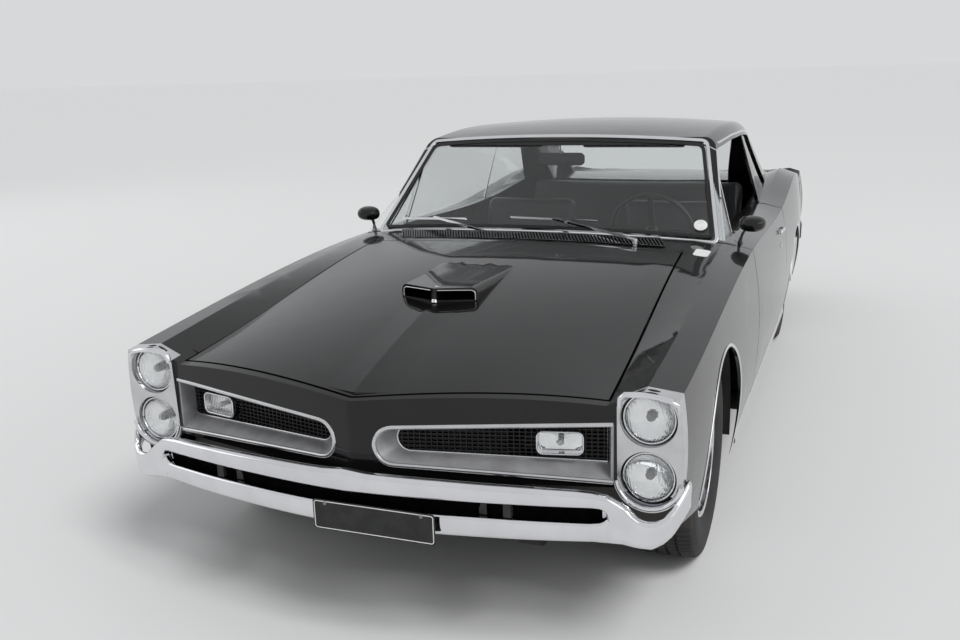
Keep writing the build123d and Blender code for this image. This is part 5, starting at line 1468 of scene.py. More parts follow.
@dataclass
class DoorTrim(Assembly):
    """Outer handles, locks and inner panels of the doors."""

    # Forward places and distances out of the door
    grip: Pairs = ((-0.385, -0.006), (-0.375, 0.012), (-0.30, 0.015), (-0.225, 0.012), (-0.215, -0.006))
    grip_heights: tuple[float, ...] = (0.803, 0.805, 0.806, 0.805, 0.803)
    button: Pairs = ((0, 0), (0, 0.012), (0.012, 0.011), (0.015, 0.008), (0.015, 0))
    barrel: Pairs = ((-0.004, 0), (-0.004, 0.011), (0.003, 0.011), (0.005, 0.008), (0.004, 0))
    lock: tuple[float, float] = (-0.235, 0.735)
    # Rear end, length, foot and height
    card: tuple[float, float, float, float] = (-0.50, 1.27, 0.33, 0.53)
    card_y: float = 0.7345
    pleats: int = 40
    pleat_depth: float = 0.003

    def build(self) -> None:
        """Makes the trim of both doors."""
        for hand, sign in HANDS:
            self._handle(hand, sign)
            self._card(hand, sign)

    def _handle(self, hand: str, sign: int) -> None:
        """Makes a door's handle with its button, and its lock.

        Args:
            hand: Side of the car.
            sign: 1 on the left and -1 on the right.
        """
        base = self.car.sides.side(-0.30, 0.800).y
        path = [(x, sign * (base + out), z) for (x, out), z in zip(self.grip, self.grip_heights)]
        shape = sweep(path, round_section(0.020, 0.012), UP)
        shape.add(lathe(self.button, (-0.225, sign * (base + 0.002), 0.805), (0, sign, 0), 20))
        self.piece(f"door_handle_{hand}", shape, "chrome_plate", f"door_{hand}", subdivide=1, fold=50)
        x, z = self.lock
        place = (x, sign * self.car.sides.side(x, z).y, z)
        barrel = lathe(self.barrel, place, (0, sign, 0), 20)
        self.piece(f"door_lock_{hand}", barrel, "chrome_plate", f"door_{hand}")

    def _card(self, hand: str, sign: int) -> None:
        """Makes a door's inner panel with its upright pleats.

        Args:
            hand: Side of the car.
            sign: 1 on the left and -1 on the right.
        """
        rows, columns = 14, 60
        rear, length, foot, height = self.card
        sheet = []
        for i in range(rows + 1):
            row = []
            for k in range(columns + 1):
                sewn = 4 <= i <= 10
                pleat = self.pleat_depth * (abs(math.sin(k / columns * self.pleats * math.pi)) if sewn else 1)
                y = sign * (self.card_y - 0.0015 - pleat)
                row.append((rear + length * k / columns, y, foot + height * i / rows))
            sheet.append(row)
        self.piece(f"door_card_{hand}", loft(sheet), "vinyl", f"door_{hand}")


@dataclass
class TailTrim(Assembly):
    """Frames of the rear lamps' three bars, and the strip over them."""

    x: float = -2.5405
    lamp: tuple[float, float] = (0.560, 0.690)  # middle of the left lamp
    lamp_size: Spot = (426, 28, 13.9)  # width, height and corner radius
    bars: int = 3
    pitch: float = 0.044
    strip: tuple[float, float] = (0.80, 0.800)  # half length and height

    def build(self) -> None:
        """Makes the frames and the strip."""
        y, z = self.lamp
        foot = z - self.pitch * (self.bars - 1) / 2
        outline = [(self.x, y + u * MM, foot + v * MM) for u, v in round_rectangle(*self.lamp_size)]
        frame = sweep(outline, round_section(0.006, 0.006), BACK, closed=True)
        bars = Copies(self.bars, step=(0.0, 0.0, self.pitch))
        self.piece("tail_lamp_frames", frame.both_sides(), "chrome_plate", fold=50, copies=bars)
        reach, height = self.strip
        path = [(self.x, reach * (2 * k / 32 - 1), height) for k in range(33)]
        self.piece("tail_strip", sweep(path, bar_section(0.014, 0.004), BACK), "chrome_plate")


@dataclass
class Wheels(Assembly):
    """Tyres with tread, and trim rings, centre caps and nuts on the wheels."""

    wheels: tuple[tuple[str, str, float, float], ...] = (
        ("front", "left", AXLE_FRONT, 0.770), ("front", "right", AXLE_FRONT, -0.770),
        ("rear", "left", AXLE_REAR, 0.760), ("rear", "right", AXLE_REAR, -0.760),
    )
    radius: float = 0.340
    side: Pairs = (
        (0.090, 0.1905), (0.090, 0.204), (0.0975, 0.2045), (0.1075, 0.222), (0.1140, 0.246), (0.1172, 0.270),
        (0.1160, 0.292), (0.1130, 0.309), (0.1125, 0.3095), (0.1095, 0.324), (0.1035, 0.332),
    )
    shoulder: tuple[float, float] = (0.0975, 0.337)
    grooves: tuple[float, ...] = (-0.056, -0.019, 0.019, 0.056)
    tread: tuple[float, float] = (0.3395, 0.3315)
    cuts: int = 88
    cut_depth: float = 0.0042
    cut_slant: float = 0.35 / 0.0935
    ring: Pairs = (
        (0.060, 0.176), (0.075, 0.180), (0.092, 0.186), (0.0985, 0.193), (0.0995, 0.203),
        (0.0975, 0.206), (0.0965, 0.199), (0.092, 0.190), (0.072, 0.1845), (0.060, 0.176),
    )
    cap: Pairs = (
        (0.016, 0.056), (0.024, 0.057), (0.034, 0.052), (0.046, 0.046), (0.052, 0.036), (0.054, 0.018),
        (0.0545, 0),
    )
    nut: Pairs = ((0.018, 0.0105), (0.030, 0.0100), (0.036, 0.0075), (0.038, 0))
    nuts: int = 5
    nut_circle: float = 0.066

    def build(self) -> None:
        """Makes the tyre and the bright parts of each wheel."""
        for end, hand, axle, y in self.wheels:
            body, name = f"{end}_wheel_{hand}", f"{end}_{hand}"
            sign = 1 if y > 0 else -1
            centre, out = (axle, y, self.radius), (0, sign, 0)
            sectors = Copies(self.cuts, start=centre, copy_turn=(0.0, math.tau / self.cuts, 0.0))
            tyre = self.piece(f"tread_{name}", self._sector(sign), "rubber", body, fold=40, copies=sectors)
            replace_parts(tyre, f"tyre_{name}")
            bright = lathe(self.ring, centre, out, 72).add(lathe(self.cap, centre, out, 40))
            self.piece(f"trim_ring_{name}", bright, "chrome_plate", body)
            turn = (0.0, math.tau / self.nuts, 0.0)
            ring = Copies(self.nuts, start=centre, arm=(0.0, 0.0, self.nut_circle), arm_turn=turn)
            nut = lathe(self.nut, (0, 0, 0), out, 6)
            self.piece(f"wheel_nuts_{name}", nut, "chrome_plate", body, fold=25, copies=ring)

    def _profile(self) -> list[tuple[float, float, bool]]:
        """Draws the tyre's profile from bead to bead.

        Returns:
            Distances across, radii and whether a point is on a tread rib.
        """
        side = [(a, r, False) for a, r in self.side] + [(*self.shoulder, True)]
        crown, floor = self.tread
        profile = [(-a, r, rib) for a, r, rib in side]
        for groove in self.grooves:
            wall = [(0.0060, crown, True), (0.0045, crown, False), (0.0038, floor, False)]
            profile += [(groove - a, r, rib) for a, r, rib in wall]
            profile += [(groove + a, r, rib) for a, r, rib in reversed(wall)]
        return profile + side[::-1]

    def _sector(self, sign: int, steps: int = 4) -> Shape:
        """Makes the stretch of tyre from one cross cut to the next, about the wheel's middle.

        Args:
            sign: 1 on the left and -1 on the right.
            steps: Steps of the stretch.

        Returns:
            The open stretch.
        """
        pitch = math.tau / self.cuts
        rows = []
        for k in range(steps + 1):
            row = []
            for across, radius, rib in self._profile():
                r = radius - (self.cut_depth if rib and k % steps == 0 else 0.0)
                turn = pitch * (k / steps + self.cut_slant * abs(across))
                row.append((r * math.cos(turn), sign * across, r * math.sin(turn)))
            rows.append(row)
        return loft(rows, ring=True)


@dataclass(frozen=True)
class Pad:
    """One cushion: its middle, its size, its pitch in degrees, its edges and its sewing.

    Attributes:
        name: Name of the cushion.
        centre: Its middle.
        size: Length, width and thickness.
        pitch: Its turn about the car's cross axis.
        radius: Radius of its edges.
        crown: How far its top swells.
        ribs: How many ribs lie across it, one behind the other.
        welts: Places across of the triple seams that run along it, as shares of half the width.
    """

    name: str
    centre: Spot
    size: Spot
    pitch: float
    radius: float
    crown: float
    ribs: int = 0
    welts: tuple[float, ...] = ()

    def matrix(self) -> Matrix:
        """Returns the matrix that carries the cushion to its place."""
        return Matrix.Translation(self.centre) @ Matrix.Rotation(math.radians(self.pitch), 4, "Y")

    def _steps(self) -> tuple[int, int, int]:
        """Steps along the length, the width and the thickness."""
        return 72 if self.ribs else 24, round(self.size[1] / 0.006) if self.welts else 30, 6

    def _point(self, key: tuple[int, int, int]) -> Vector:
        """Finds a point of the rounded, crowned and sewn block.

        Args:
            key: Its numbers along the three sides.

        Returns:
            The point about the cushion's middle.
        """
        steps, half = self._steps(), Vector(self.size) / 2
        share = [2 * c / n - 1 for c, n in zip(key, steps)]
        point = Vector([s * h for s, h in zip(share, half)])
        core = Vector([max(self.radius - h, min(h - self.radius, c)) for c, h in zip(point, half)])
        away = point - core
        if away.length > 1e-9:
            point = core + away.normalized() * self.radius
        if key[2] == steps[2]:
            point.z += self.crown * ((1 - share[0] ** 2) * (1 - share[1] ** 2)) ** 0.5
            gap = min([abs(abs(share[1]) - w) * half.y for w in self.welts], default=1.0)
            if self.ribs and abs(share[0]) < 0.8 and abs(share[1]) < 0.86:
                point.z -= 0.006 * (1 - abs(math.sin(math.pi * self.ribs * (share[0] / 0.8 + 1) / 2))) ** 2
            if gap < 0.024 and abs(share[0]) < 0.9:
                point.z += 0.002 - 0.006 * (1 - abs(math.cos(math.pi * gap / 0.016))) ** 2
        point.x *= 1 - 0.02 * (1 - abs(share[1]))
        return point

    def shape(self) -> Shape:
        """Makes the cushion.

        Returns:
            The closed cushion at its place.
        """
        shape = Shape()
        index: dict[tuple[int, int, int], int] = {}

        def at(*key: int) -> int:
            """Returns the number of a point, made on its first use."""
            if key not in index:
                index[key] = len(shape.verts)
                shape.verts.append(self._point(key))
            return index[key]

        nx, ny, nz = self._steps()
        for i in range(nx):
            for j in range(ny):
                shape.faces.append((at(i, j, nz), at(i + 1, j, nz), at(i + 1, j + 1, nz), at(i, j + 1, nz)))
                shape.faces.append((at(i, j, 0), at(i, j + 1, 0), at(i + 1, j + 1, 0), at(i + 1, j, 0)))
        for i in range(nx):
            for k in range(nz):
                shape.faces.append((at(i, 0, k), at(i + 1, 0, k), at(i + 1, 0, k + 1), at(i, 0, k + 1)))
                shape.faces.append((at(i, ny, k), at(i, ny, k + 1), at(i + 1, ny, k + 1), at(i + 1, ny, k)))
        for j in range(ny):
            for k in range(nz):
                shape.faces.append((at(0, j, k), at(0, j, k + 1), at(0, j + 1, k + 1), at(0, j + 1, k)))
                shape.faces.append((at(nx, j, k), at(nx, j + 1, k), at(nx, j + 1, k + 1), at(nx, j, k + 1)))
        return shape.moved(self.matrix())

    def piping(self) -> Shape:
        """Makes the piping.

        Returns:
            The closed cord round the cushion's top edge, at its place.
        """
        outline = round_rectangle(self.size[0] - 0.03, self.size[1] - 0.03, self.radius)
        path = [(x, y, self.size[2] / 2 - 0.012) for x, y in outline]
        return sweep(path, round_section(0.007, 0.007, 8), UP, closed=True).moved(self.matrix())


BENCH_WELTS = (0.14, 0.5, 0.86)


@dataclass
class Seats(Assembly):
    """Front bucket seats and the rear bench as pleated cushions with piping and plain bases."""

    front: tuple[Pad, ...] = (
        Pad("front_cushion", (0.130, 0.385, 0.440), (0.500, 0.500, 0.130), -4, 0.045, 0.020, 9, (0.0,)),
        Pad("front_back", (-0.190, 0.385, 0.695), (0.520, 0.490, 0.110), -105, 0.045, 0.018, 9, (0.0,)),
    )
    bench: tuple[Pad, ...] = (
        Pad("rear_cushion", (-0.665, 0.0, 0.445), (0.500, 1.270, 0.130), -3, 0.045, 0.018, 0, BENCH_WELTS),
        Pad("rear_back", (-1.010, 0.0, 0.725), (0.480, 1.270, 0.100), -112, 0.040, 0.014, 0, BENCH_WELTS),
    )
    fill: float = 0.8

    def build(self) -> None:
        """Makes the cushions, their piping and the bases."""
        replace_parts(self._pads(self.front, HANDS), "front_seats")
        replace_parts(self._pads(self.bench, (("middle", 1),)), "rear_seat")
        bases = box_shape((-0.08, 0.20, 0.279), (0.30, 0.57, 0.39))
        bases.add(box_shape((-0.05, 0.16, 0.279), (0.28, 0.19, 0.30)))
        self.piece("front_seat_bases", bases.both_sides(), "vinyl")
        shell = box_shape((-0.86, -0.60, 0.410), (-0.80, 0.60, 0.46))
        shell.add(box_shape((-0.70, -0.60, 0.279), (-0.45, 0.60, 0.39)))
        self.piece("rear_seat_base", shell, "vinyl")

    def _pads(self, pads: Iterable[Pad], sides: Sequence[tuple[str, int]]) -> bpy.types.Object:
        """Makes some cushions with their piping.

        Args:
            pads: The cushions.
            sides: Name and sign of each side that has them.

        Returns:
            The first cushion.
        """
        cushions = []
        for pad in pads:
            cushion, cord = pad.shape(), pad.piping()
            for hand, sign in sides:
                obj = self.piece(f"{pad.name}_{hand}", cushion.on_side(sign), "vinyl", fold=70)
                cushions.append(obj)
                # The piping's lighter finish is a painted sheen on the black vinyl.
                self.piece(f"{pad.name}_piping_{hand}", cord.on_side(sign), "piping", fold=70)
        return cushions[0]


@dataclass
class Cabin(Assembly):
    """Gauges, glove box, carpet, shifter, rear-view mirror and visors."""

    gauges: tuple[float, float, int] = (0.245, 0.140, 3)  # first place, pitch and count
    gauge_ring: Pairs = ((0, 0.050), (0.010, 0.052), (0.012, 0.056), (0.002, 0.060), (0, 0.050))
    dial: Pairs = ((0.001, 0.050), (0.002, 0))
    dash_knobs: tuple[float, ...] = (-0.10, 0.0, 0.10)
    dash_knob: Pairs = ((0, 0.010), (0.018, 0.010), (0.02, 0.008), (0.02, 0))
    carpet_stations: tuple[float, ...] = (
        0.84, 0.70, 0.55, 0.40, 0.20, 0.0, -0.20, -0.385, -0.40, -0.55, -0.70,
    )
    tunnel_end: float = -0.39
    tunnel: Pairs = ((-0.40, 0.353), (0.56, 0.461), (1.0, 0.471))
    carpet_z: float = 0.2795
    lever: tuple[Spot, ...] = ((0.36, 0.0, 0.42), (0.345, 0.0, 0.50), (0.335, 0.0, 0.58))
    knob: Pairs = ((0, 0), (0.002, 0.012), (0.014, 0.023), (0.03, 0.021), (0.042, 0.012), (0.045, 0))
    mirror: tuple[float, float] = (0.455, 1.222)
    mirror_size: Spot = (215, 58, 22)  # width, height and corner radius
    visor: Pad = Pad("sun_visor", (0.385, 0.33, 1.292), (0.15, 0.46, 0.016), 8, 0.007, 0.003)

    def build(self) -> None:
        """Makes the fittings from the dash to the visors."""
        self._dash()
        self._carpet()
        self.piece("shift_lever", sweep(self.lever, round_section(0.011, 0.011), AHEAD), "chrome_plate")
        self.piece("shift_knob", lathe(self.knob, (0.335, 0, 0.575), UP, 24), "dash_plastic")
        self._mirror()
        for hand, sign in HANDS:
            obj = self.piece(f"{self.visor.name}_{hand}", self.visor.shape().on_side(sign), "vinyl", fold=70)

    def _dash(self) -> None:
        """Makes the gauges, the knobs and the glove box's seam."""
        first, pitch, count = self.gauges
        rings = Shape()
        for k in range(count):
            rings.add(lathe(self.gauge_ring, (0.5655, first + pitch * k, 0.800), (-1, 0, 0.1)))
        for y in self.dash_knobs:
            rings.add(lathe(self.dash_knob, (0.568, y, 0.72), BACK, 16))
        self.piece("gauge_rings", rings, "chrome_plate")
        dial = lathe(self.dial, (0.5655, first, 0.800), (-1, 0, 0.1))
        row = Copies(count, step=(0.0, pitch, 0.0))
        self.piece("gauge_faces", dial, "plate_black", copies=row)
        box = [(0.5635, -0.43 + u * MM, 0.775 + v * MM) for u, v in round_rectangle(330, 120, 12)]
        seam = sweep(box, bar_section(0.003, 0.002, 0.0005), BACK, closed=True)
        self.piece("glove_box_seam", seam, "chrome_plate")

    def _carpet(self) -> None:
        """Makes the carpet, which rises over the tunnel."""
        rows = []
        z = self.carpet_z
        for x in self.carpet_stations:
            over = x > self.tunnel_end
            crest = between(self.tunnel, x) if over else 0.279
            edge = 0.1595 if over else 0.05
            half = [
                (0.722, z), (0.45, z), (edge + 0.01, z), (edge, z + 0.008), (edge - 0.001, crest),
                (edge - 0.03, crest + 0.004),
            ]
            rows.append([(x, -y, h) for y, h in half] + [(x, y, h) for y, h in reversed(half)])
        self.piece("carpet", loft(rows), "carpet")

    def _mirror(self) -> None:
        """Makes the rear-view mirror on its stalk."""
        x, z = self.mirror
        outline = [Vector((x, u * MM, z + v * MM)) for u, v in round_rectangle(*self.mirror_size)]
        head = plate_of(outline, Vector((-1, 0, -0.08)), -0.022, -0.008)
        self.piece("rear_view_mirror", head, "seal")
        front = [p - Vector((MM, 0, 0)) for p in outline]
        self.piece("rear_view_glass", plate_of(front, Vector(BACK), 0.0015), "mirror_glass")
        path = [(0.470, 0, 1.225), (0.478, 0, 1.262), (0.485, 0, 1.298)]
        self.piece("rear_view_stalk", sweep(path, round_section(0.012, 0.012), AHEAD), "chrome_plate")


@dataclass
class DoorMirrors(Assembly):
    """Door mirrors: a bullet-shaped shell with its glass on a tapered stalk."""

    centre: Spot = (0.690, 0.889, 0.985)
    half: tuple[float, float] = (0.055, 0.034)
    length: float = 0.06
    glass: tuple[float, float] = (0.044, 0.027)
    around: int = 32
    stalk: tuple[tuple[Spot, float], ...] = (
        ((0.728, 0.8445, 0.902), 0.013), ((0.728, 0.8450, 0.908), 0.0125), ((0.727, 0.846, 0.918), 0.008),
        ((0.724, 0.850, 0.935), 0.006), ((0.720, 0.857, 0.952), 0.0065), ((0.716, 0.868, 0.966), 0.008),
    )

    def build(self) -> None:
        """Makes both mirrors."""
        shell = self._head().add(self._stalk())
        turns = [math.tau * k / self.around for k in range(self.around)]
        wide, high = self.glass
        rim = [Vector(self.centre) + Vector((0.0012, wide * math.cos(t), high * math.sin(t))) for t in turns]
        glass = plate_of(rim, Vector(BACK), 0.001)
        for hand, sign in HANDS:
            node = f"mirror_{hand}"
            body = self.car.body_of[node]
            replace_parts(self.piece(f"{node}_shell", shell.on_side(sign), "gloss_black", body), node)
            self.piece(f"{node}_glass", glass.on_side(sign), "mirror_glass", body)

    def _head(self) -> Shape:
        """Makes the left mirror's shell.

        Returns:
            A bullet-shaped shell, whose rear rim is turned in.
        """
        profile = [(0.0020, 0.80), (0.0, 0.84), (0.0, 0.97), (0.004, 1.0)]
        for k in range(1, 10):
            turn = math.pi / 2 * k / 9
            profile.append((self.length * math.sin(turn), max(math.cos(turn), 0.02) ** 0.7))
        wide, high = self.half
        rows = []
        for ahead, share in profile:
            row = []
            for k in range(self.around):
                turn = math.tau * k / self.around
                y, z = (math.copysign(abs(c) ** 0.85, c) for c in (math.cos(turn), math.sin(turn)))
                row.append(Vector(self.centre) + Vector((ahead, wide * share * y, high * share * z)))
            rows.append(row)
        return loft(rows, ring=True, caps=True)

    def _stalk(self, around: int = 16) -> Shape:
        """Makes the stalk, which is longer than it is wide.

        Args:
            around: How many points each level has.

        Returns:
            The closed stalk.
        """
        turns = [math.tau * k / around for k in range(around)]
        rows = [
            [Vector(place) + Vector((1.5 * radius * math.cos(t), radius * math.sin(t), 0)) for t in turns]
            for place, radius in self.stalk
        ]
        return loft(rows, ring=True, caps=True)


@dataclass
class Cowl(Assembly):
    """Row of slanted louvres in front of the windshield, and the two bare stickers."""

    count: int = 87
    pitch: float = 0.0132
    slat_width: float = 0.0064
    slat_half: tuple[float, float] = (0.046, 0.021)
    bow: Spot = (0.990, 0.084, 0.560)  # ends, rise in the middle and half width
    tilt: float = 0.007
    lift: float = 0.0026
    disc: Pairs = ((0, 0), (0, 0.0275), (0.0008, 0.0275), (0.0008, 0))
    disc_place: tuple[float, float] = (0.690, 0.985)
    sticker: tuple[float, float] = (1.035, 0.738)
    sticker_size: Spot = (58, 104, 16)  # width, length and corner radius

    def build(self) -> None:
        """Makes the louvres, the dark bed under them that is painted shade for the slots, and the stickers.
        """
        rows, lift = self._rows(), Vector((0, 0, self.lift))
        slats = Shape()
        for rear, front in rows:
            path = [rear + lift, (rear + front) / 2 + lift, front + lift]
            slats.add(sweep(path, bar_section(self.slat_width, 0.0022, 0.0006), UP))
        for edge in (0, 1):
            slats.add(sweep([row[edge] + lift for row in rows], bar_section(0.005, 0.0024, 0.0006), UP))
        self.piece("cowl_louvres", slats, "gloss_black")
        # Painted shade: a flat black bed under the slats stands in for the shade in the slots between them.
        shade_bed = loft([[p + lift / 3 for p in row] for row in rows])
        self.piece("cowl_louvre_painted_shade", shade_bed, "painted_shade_black")
        y, z = self.disc_place
        place = Matrix.Translation((SCREEN.x_at(y, z) + 0.0035, y, z))
        disc = lathe(self.disc, (0, 0, 0), (0.68, 0.12, 0.72), 36).moved(place)
        self.piece("screen_disc", disc, "white_enamel")
        x, y = self.sticker
        places = [self.car.cowl.top(x + v * MM, y + u * MM) for u, v in round_rectangle(*self.sticker_size)]
        outline = [point + Vector((0, 0, 0.0008)) for point in places if point]
        self.piece("cowl_sticker", plate_of(outline, Vector(UP), 0.0006), "white_enamel")

    def _rows(self) -> list[list[Vector]]:
        """Places the slats on a plane that is laid through places beside the slots.

        Returns:
            Rear and front end of each slat.
        """
        middle, bow, half = self.bow
        rows = []
        for k in range(self.count + 1):
            y = (k - self.count / 2) * self.pitch
            x = middle + bow * (1 - (y / half) ** 2)
            rear, front = self.car.cowl.top(0.93, y), self.car.cowl.top(x + 0.030, y)
            if rear and front and min(rear.z, front.z) > 0.9:
                slope = (front.z - rear.z) / (front.x - rear.x)
                row = []
                for side in (-1, 1):
                    ahead, across = (side * reach for reach in self.slat_half)
                    height = rear.z + slope * (x + ahead - rear.x) + self.tilt * (1 - side)
                    row.append(Vector((x + ahead, y + across, height)))
                rows.append(row)
        return rows


@dataclass
class HoodTrim(Assembly):
    """Bright divider and rims of the hood scoop's two nostrils, and the creased ridge of the hood."""

    divider: tuple[Spot, ...] = ((1.944, 0, 0.882), (1.934, 0, 0.905), (1.912, 0, 0.930))
    rim: Pairs = (
        (0.012, 0.923), (0.070, 0.9225), (0.120, 0.9215), (0.1295, 0.916), (0.131, 0.905), (0.131, 0.890),
    )
    mouth: Spot = (1.944, 1.892, 0.143)  # middle, ends and half width
    ridge: tuple[float, float] = (1.957, 2.517)
    ridge_half: float = 0.10
    ridge_rise: float = 0.006
    edge_sweep: float = 0.228

    def build(self) -> None:
        """Makes the scoop's trim and the ridge."""
        divider = sweep(self.divider, round_section(0.018, 0.010), (1, 0, 0.3))
        self.piece("scoop_divider", divider, "chrome_plate", "hood", fold=50)
        middle, end, half = self.mouth
        path = [(middle - (middle - end) * y / half + 0.0005, y, z) for y, z in self.rim]
        rims = sweep(path, round_section(0.004, 0.004), AHEAD).both_sides()
        self.piece("scoop_rims", rims, "chrome_plate", "hood", fold=50)
        self.piece("hood_ridge", self._ridge(), "gloss_black", "hood", fold=4)

    def _ridge(self, long: int = 40, wide: int = 24) -> Shape:
        """Makes the low ridge, from the scoop to the hood's front edge.

        Args:
            long: Steps along it.
            wide: Steps across it.

        Returns:
            The open sheet, whose last row turns down.
        """
        rear, front = self.ridge
        rows: list[list[Vector]] = []
        for i in range(long + 2):
            row = []
            for k in range(wide + 1):
                y = self.ridge_half * (2 * k / wide - 1)
                x = rear + (front - self.edge_sweep * abs(y) - rear) * min(i, long) / long
                place = self.car.hood.top(x, y) or Vector((x, y, rows[-1][k].z))
                swell = (1 - abs(y) / self.ridge_half) ** 1.6 * min(1.0, 0.3 + i / 8)
                rise = 0.0003 + self.ridge_rise * swell if i <= long else -0.001
                row.append(place + Vector((0, 0, rise)))
            rows.append(row)
        return loft(rows)


@dataclass
class Headliner(Assembly):
    """Cloth sheet close under the roof."""

    front: float = 0.43
    length: float = 1.20
    half_width: float = 0.575
    gap: float = 0.004

    def build(self) -> None:
        """Makes the sheet where there is roof over it."""
        found: dict[tuple[int, int], Vector] = {}
        for i in range(31):
            for k in range(25):
                place = self.front - self.length * i / 30, self.half_width * (2 * k / 24 - 1)
                point = self.car.roof.below(*place)
                if point:
                    found[i, k] = point - Vector((0, 0, self.gap))
        number = {key: n for n, key in enumerate(found)}
        sheet = Shape(list(found.values()))
        for i, k in found:
            quad = [(i, k), (i, k + 1), (i + 1, k + 1), (i + 1, k)]
            if all(key in number for key in quad):
                sheet.faces.append(tuple(number[key] for key in quad))
        self.piece("headliner", sheet, "headliner")


@dataclass
class Underside(Assembly):
    """Drive shaft with its two joints, and flat black discs in the tailpipes that are painted shade for their
    bores.
    """

    shaft: tuple[Spot, ...] = ((0.470, 0, 0.340), (-0.30, 0, 0.337), (-1.085, 0, 0.335))
    shaft_size: float = 0.070
    joints: tuple[float, float] = (0.455, -1.095)
    bore_shade: Pairs = ((0, 0), (0.0004, 0.021), (0, 0.0215))
    bore_shade_place: Spot = (-2.5602, 0.300, 0.203)

    def build(self) -> None:
        """Makes the shaft and the painted shade in the tailpipe ends."""
        shaft = sweep(self.shaft, round_section(self.shaft_size, self.shaft_size, 24), UP)
        for x in self.joints:
            shaft.add(box_shape((x - 0.025, -0.042, 0.325), (x + 0.025, 0.042, 0.350)))
            shaft.add(box_shape((x - 0.025, -0.013, 0.296), (x + 0.025, 0.013, 0.379)))
        self.piece("drive_shaft", shaft, "steel", fold=40)
        # Painted shade: a flat black disc closes each tailpipe and stands in for the shade inside it.
        bore_shade = lathe(self.bore_shade, self.bore_shade_place, BACK, 24)
        self.piece("tailpipe_bore_shades", bore_shade.both_sides(), "painted_shade_black")


@dataclass(frozen=True)
class Softbox:
    """One area lamp: where it hangs, its two sides and its power."""

    name: str
    place: Spot
    size: tuple[float, float]
    power: float


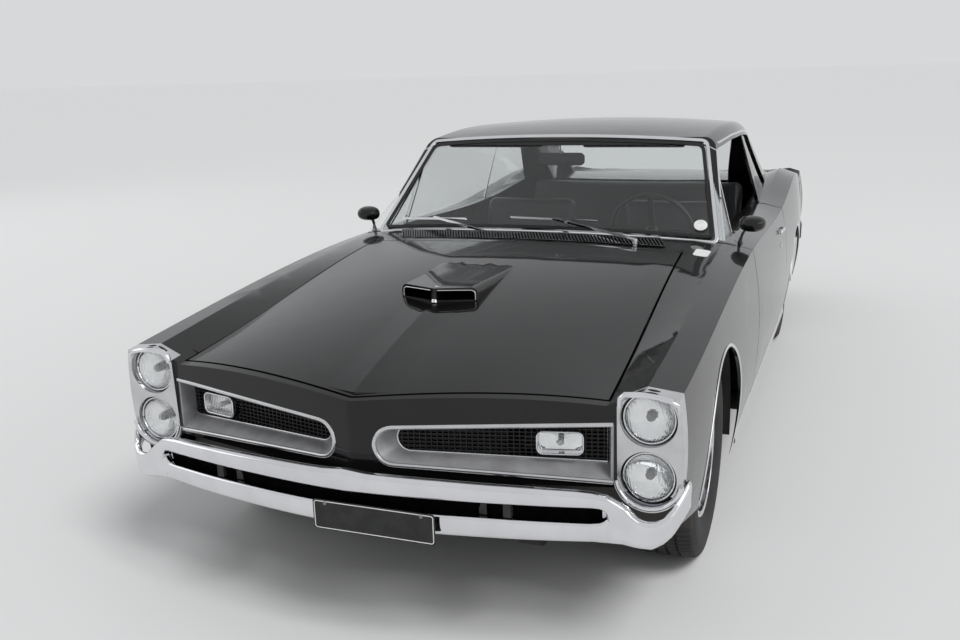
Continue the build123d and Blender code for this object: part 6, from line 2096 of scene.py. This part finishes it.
@dataclass(frozen=True)
class Studio:
    """Floor, world light, softboxes, a soft sun and the photograph's camera."""

    softboxes: tuple[Softbox, ...] = (
        Softbox("left_side", (2.0, 10.0, 5.0), (14.0, 5.0), 210),
        Softbox("right_side", (1.0, -10.0, 5.0), (14.0, 4.0), 110),
    )
    aim: Spot = (0.0, 0.0, 0.6)
    sun_from: Spot = (0.35, 0.65, 1.0)
    sun_power: float = 1.70
    sun_angle: float = 24
    world_color: Spot = (0.97, 0.985, 1.0)
    world_light: float = 0.50
    world_seen: float = 0.70
    floor_half: float = 400
    floor_grey: float = 0.72
    camera_place: Spot = (4.857, 1.329, 1.624)
    camera_turn: Spot = (-158.2, -14.15, 1.69)  # yaw, pitch and roll in degrees
    lens: float = 36.88

    def build(self) -> None:
        """Makes the world, the floor, the lamps and the camera."""
        self._world()
        self._floor()
        self._lamps()
        self._camera()
        bpy.context.scene.view_settings.view_transform = "Standard"

    def _world(self) -> None:
        """Makes even light that shows pale to the camera, in reflections and through glass."""
        world = bpy.data.worlds.new("studio")
        bpy.context.scene.world = world
        world.use_nodes = True
        tree = world.node_tree
        back = tree.nodes["Background"]
        back.inputs["Color"].default_value = (*self.world_color, 1)
        path = tree.nodes.new("ShaderNodeLightPath")
        seen = path.outputs["Is Camera Ray"]
        for name in ("Is Glossy Ray", "Is Transmission Ray"):
            either = tree.nodes.new("ShaderNodeMath")
            either.operation = "MAXIMUM"
            tree.links.new(seen, either.inputs[0])
            tree.links.new(path.outputs[name], either.inputs[1])
            seen = either.outputs["Value"]
        strength = tree.nodes.new("ShaderNodeMapRange")
        strength.inputs["To Min"].default_value = self.world_light
        strength.inputs["To Max"].default_value = self.world_seen
        tree.links.new(seen, strength.inputs["Value"])
        tree.links.new(strength.outputs["Result"], back.inputs["Strength"])

    def _floor(self) -> None:
        """Makes the large pale floor."""
        mesh = bpy.data.meshes.new("floor")
        half = self.floor_half
        edge = [(-half, -half, 0), (half, -half, 0), (half, half, 0), (-half, half, 0)]
        mesh.from_pydata(edge, [], [(0, 1, 2, 3)])
        ground = bpy.data.materials.new("studio_floor")
        ground.use_nodes = True
        shader = ground.node_tree.nodes["Principled BSDF"]
        shader.inputs["Base Color"].default_value = (*[self.floor_grey] * 3, 1)
        shader.inputs["Roughness"].default_value = 0.9
        shader.inputs["Specular IOR Level"].default_value = 0.1
        mesh.materials.append(ground)
        new_object("floor", mesh)

    def _lamps(self) -> None:
        """Hangs the softboxes, which don't show through glass, and the sun, which leaves no mirror image."""
        for box in self.softboxes:
            data = bpy.data.lights.new(box.name, "AREA")
            data.shape = "RECTANGLE"
            data.size, data.size_y = box.size
            data.energy = box.power
            lamp = new_object(box.name, data)
            lamp.location = box.place
            lamp.visible_transmission = False
            lamp.rotation_euler = self._turn_along(Vector(self.aim) - Vector(box.place))
        data = bpy.data.lights.new("sun", "SUN")
        data.energy = self.sun_power
        data.angle = math.radians(self.sun_angle)
        sun = new_object("sun", data)
        sun.location = (0, 0, 10)
        sun.visible_glossy = False
        sun.rotation_euler = self._turn_along(-Vector(self.sun_from))

    def _turn_along(self, way: Vector) -> Euler:
        """Returns the turn with which a lamp shines along a direction."""
        return way.to_track_quat("-Z", "Y").to_euler()

    def _camera(self) -> None:
        """Sets up the camera that the photograph was matched with."""
        data = bpy.data.cameras.new("camera")
        data.sensor_width = 36.0
        data.lens = self.lens
        data.clip_end = 1500
        camera = new_object("camera", data)
        yaw, pitch, roll = (math.radians(angle) for angle in self.camera_turn)
        ahead = Vector((math.cos(pitch) * math.cos(yaw), math.cos(pitch) * math.sin(yaw), math.sin(pitch)))
        right = ahead.cross(Vector(UP)).normalized()
        down = ahead.cross(right)
        across = right * math.cos(roll) + down * math.sin(roll)
        fall = down * math.cos(roll) - right * math.sin(roll)
        matrix = Matrix((across, -fall, -ahead)).transposed().to_4x4()
        camera.matrix_world = Matrix.Translation(self.camera_place) @ matrix
        bpy.context.scene.camera = camera


ASSEMBLIES = (
    Panels, Grilles, Headlamps, Bumpers, ScreenTrim, BodyTrim, DoorTrim, TailTrim, Wheels, Seats, Cabin,
    DoorMirrors, Cowl, HoodTrim, Headliner, Underside,
)


def corners(bounds: tuple[Vector, Vector]) -> list[list[float]]:
    """Returns bounds as plain lists of numbers."""
    return [list(corner) for corner in bounds]


def main() -> None:
    """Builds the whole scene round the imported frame."""
    for obj in list(bpy.data.objects):
        bpy.data.objects.remove(obj)
    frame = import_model()
    car = Car(frame)
    for kind in ASSEMBLIES:
        assembly = kind(car)
        assembly.build()
        for obj in assembly.pieces:
            LOG.info("%s: %s, %d faces", kind.__name__, obj.name, len(obj.data.polygons))
    Studio().build()


if __name__ == "__main__":
    logging.basicConfig(level=logging.INFO)
    main()
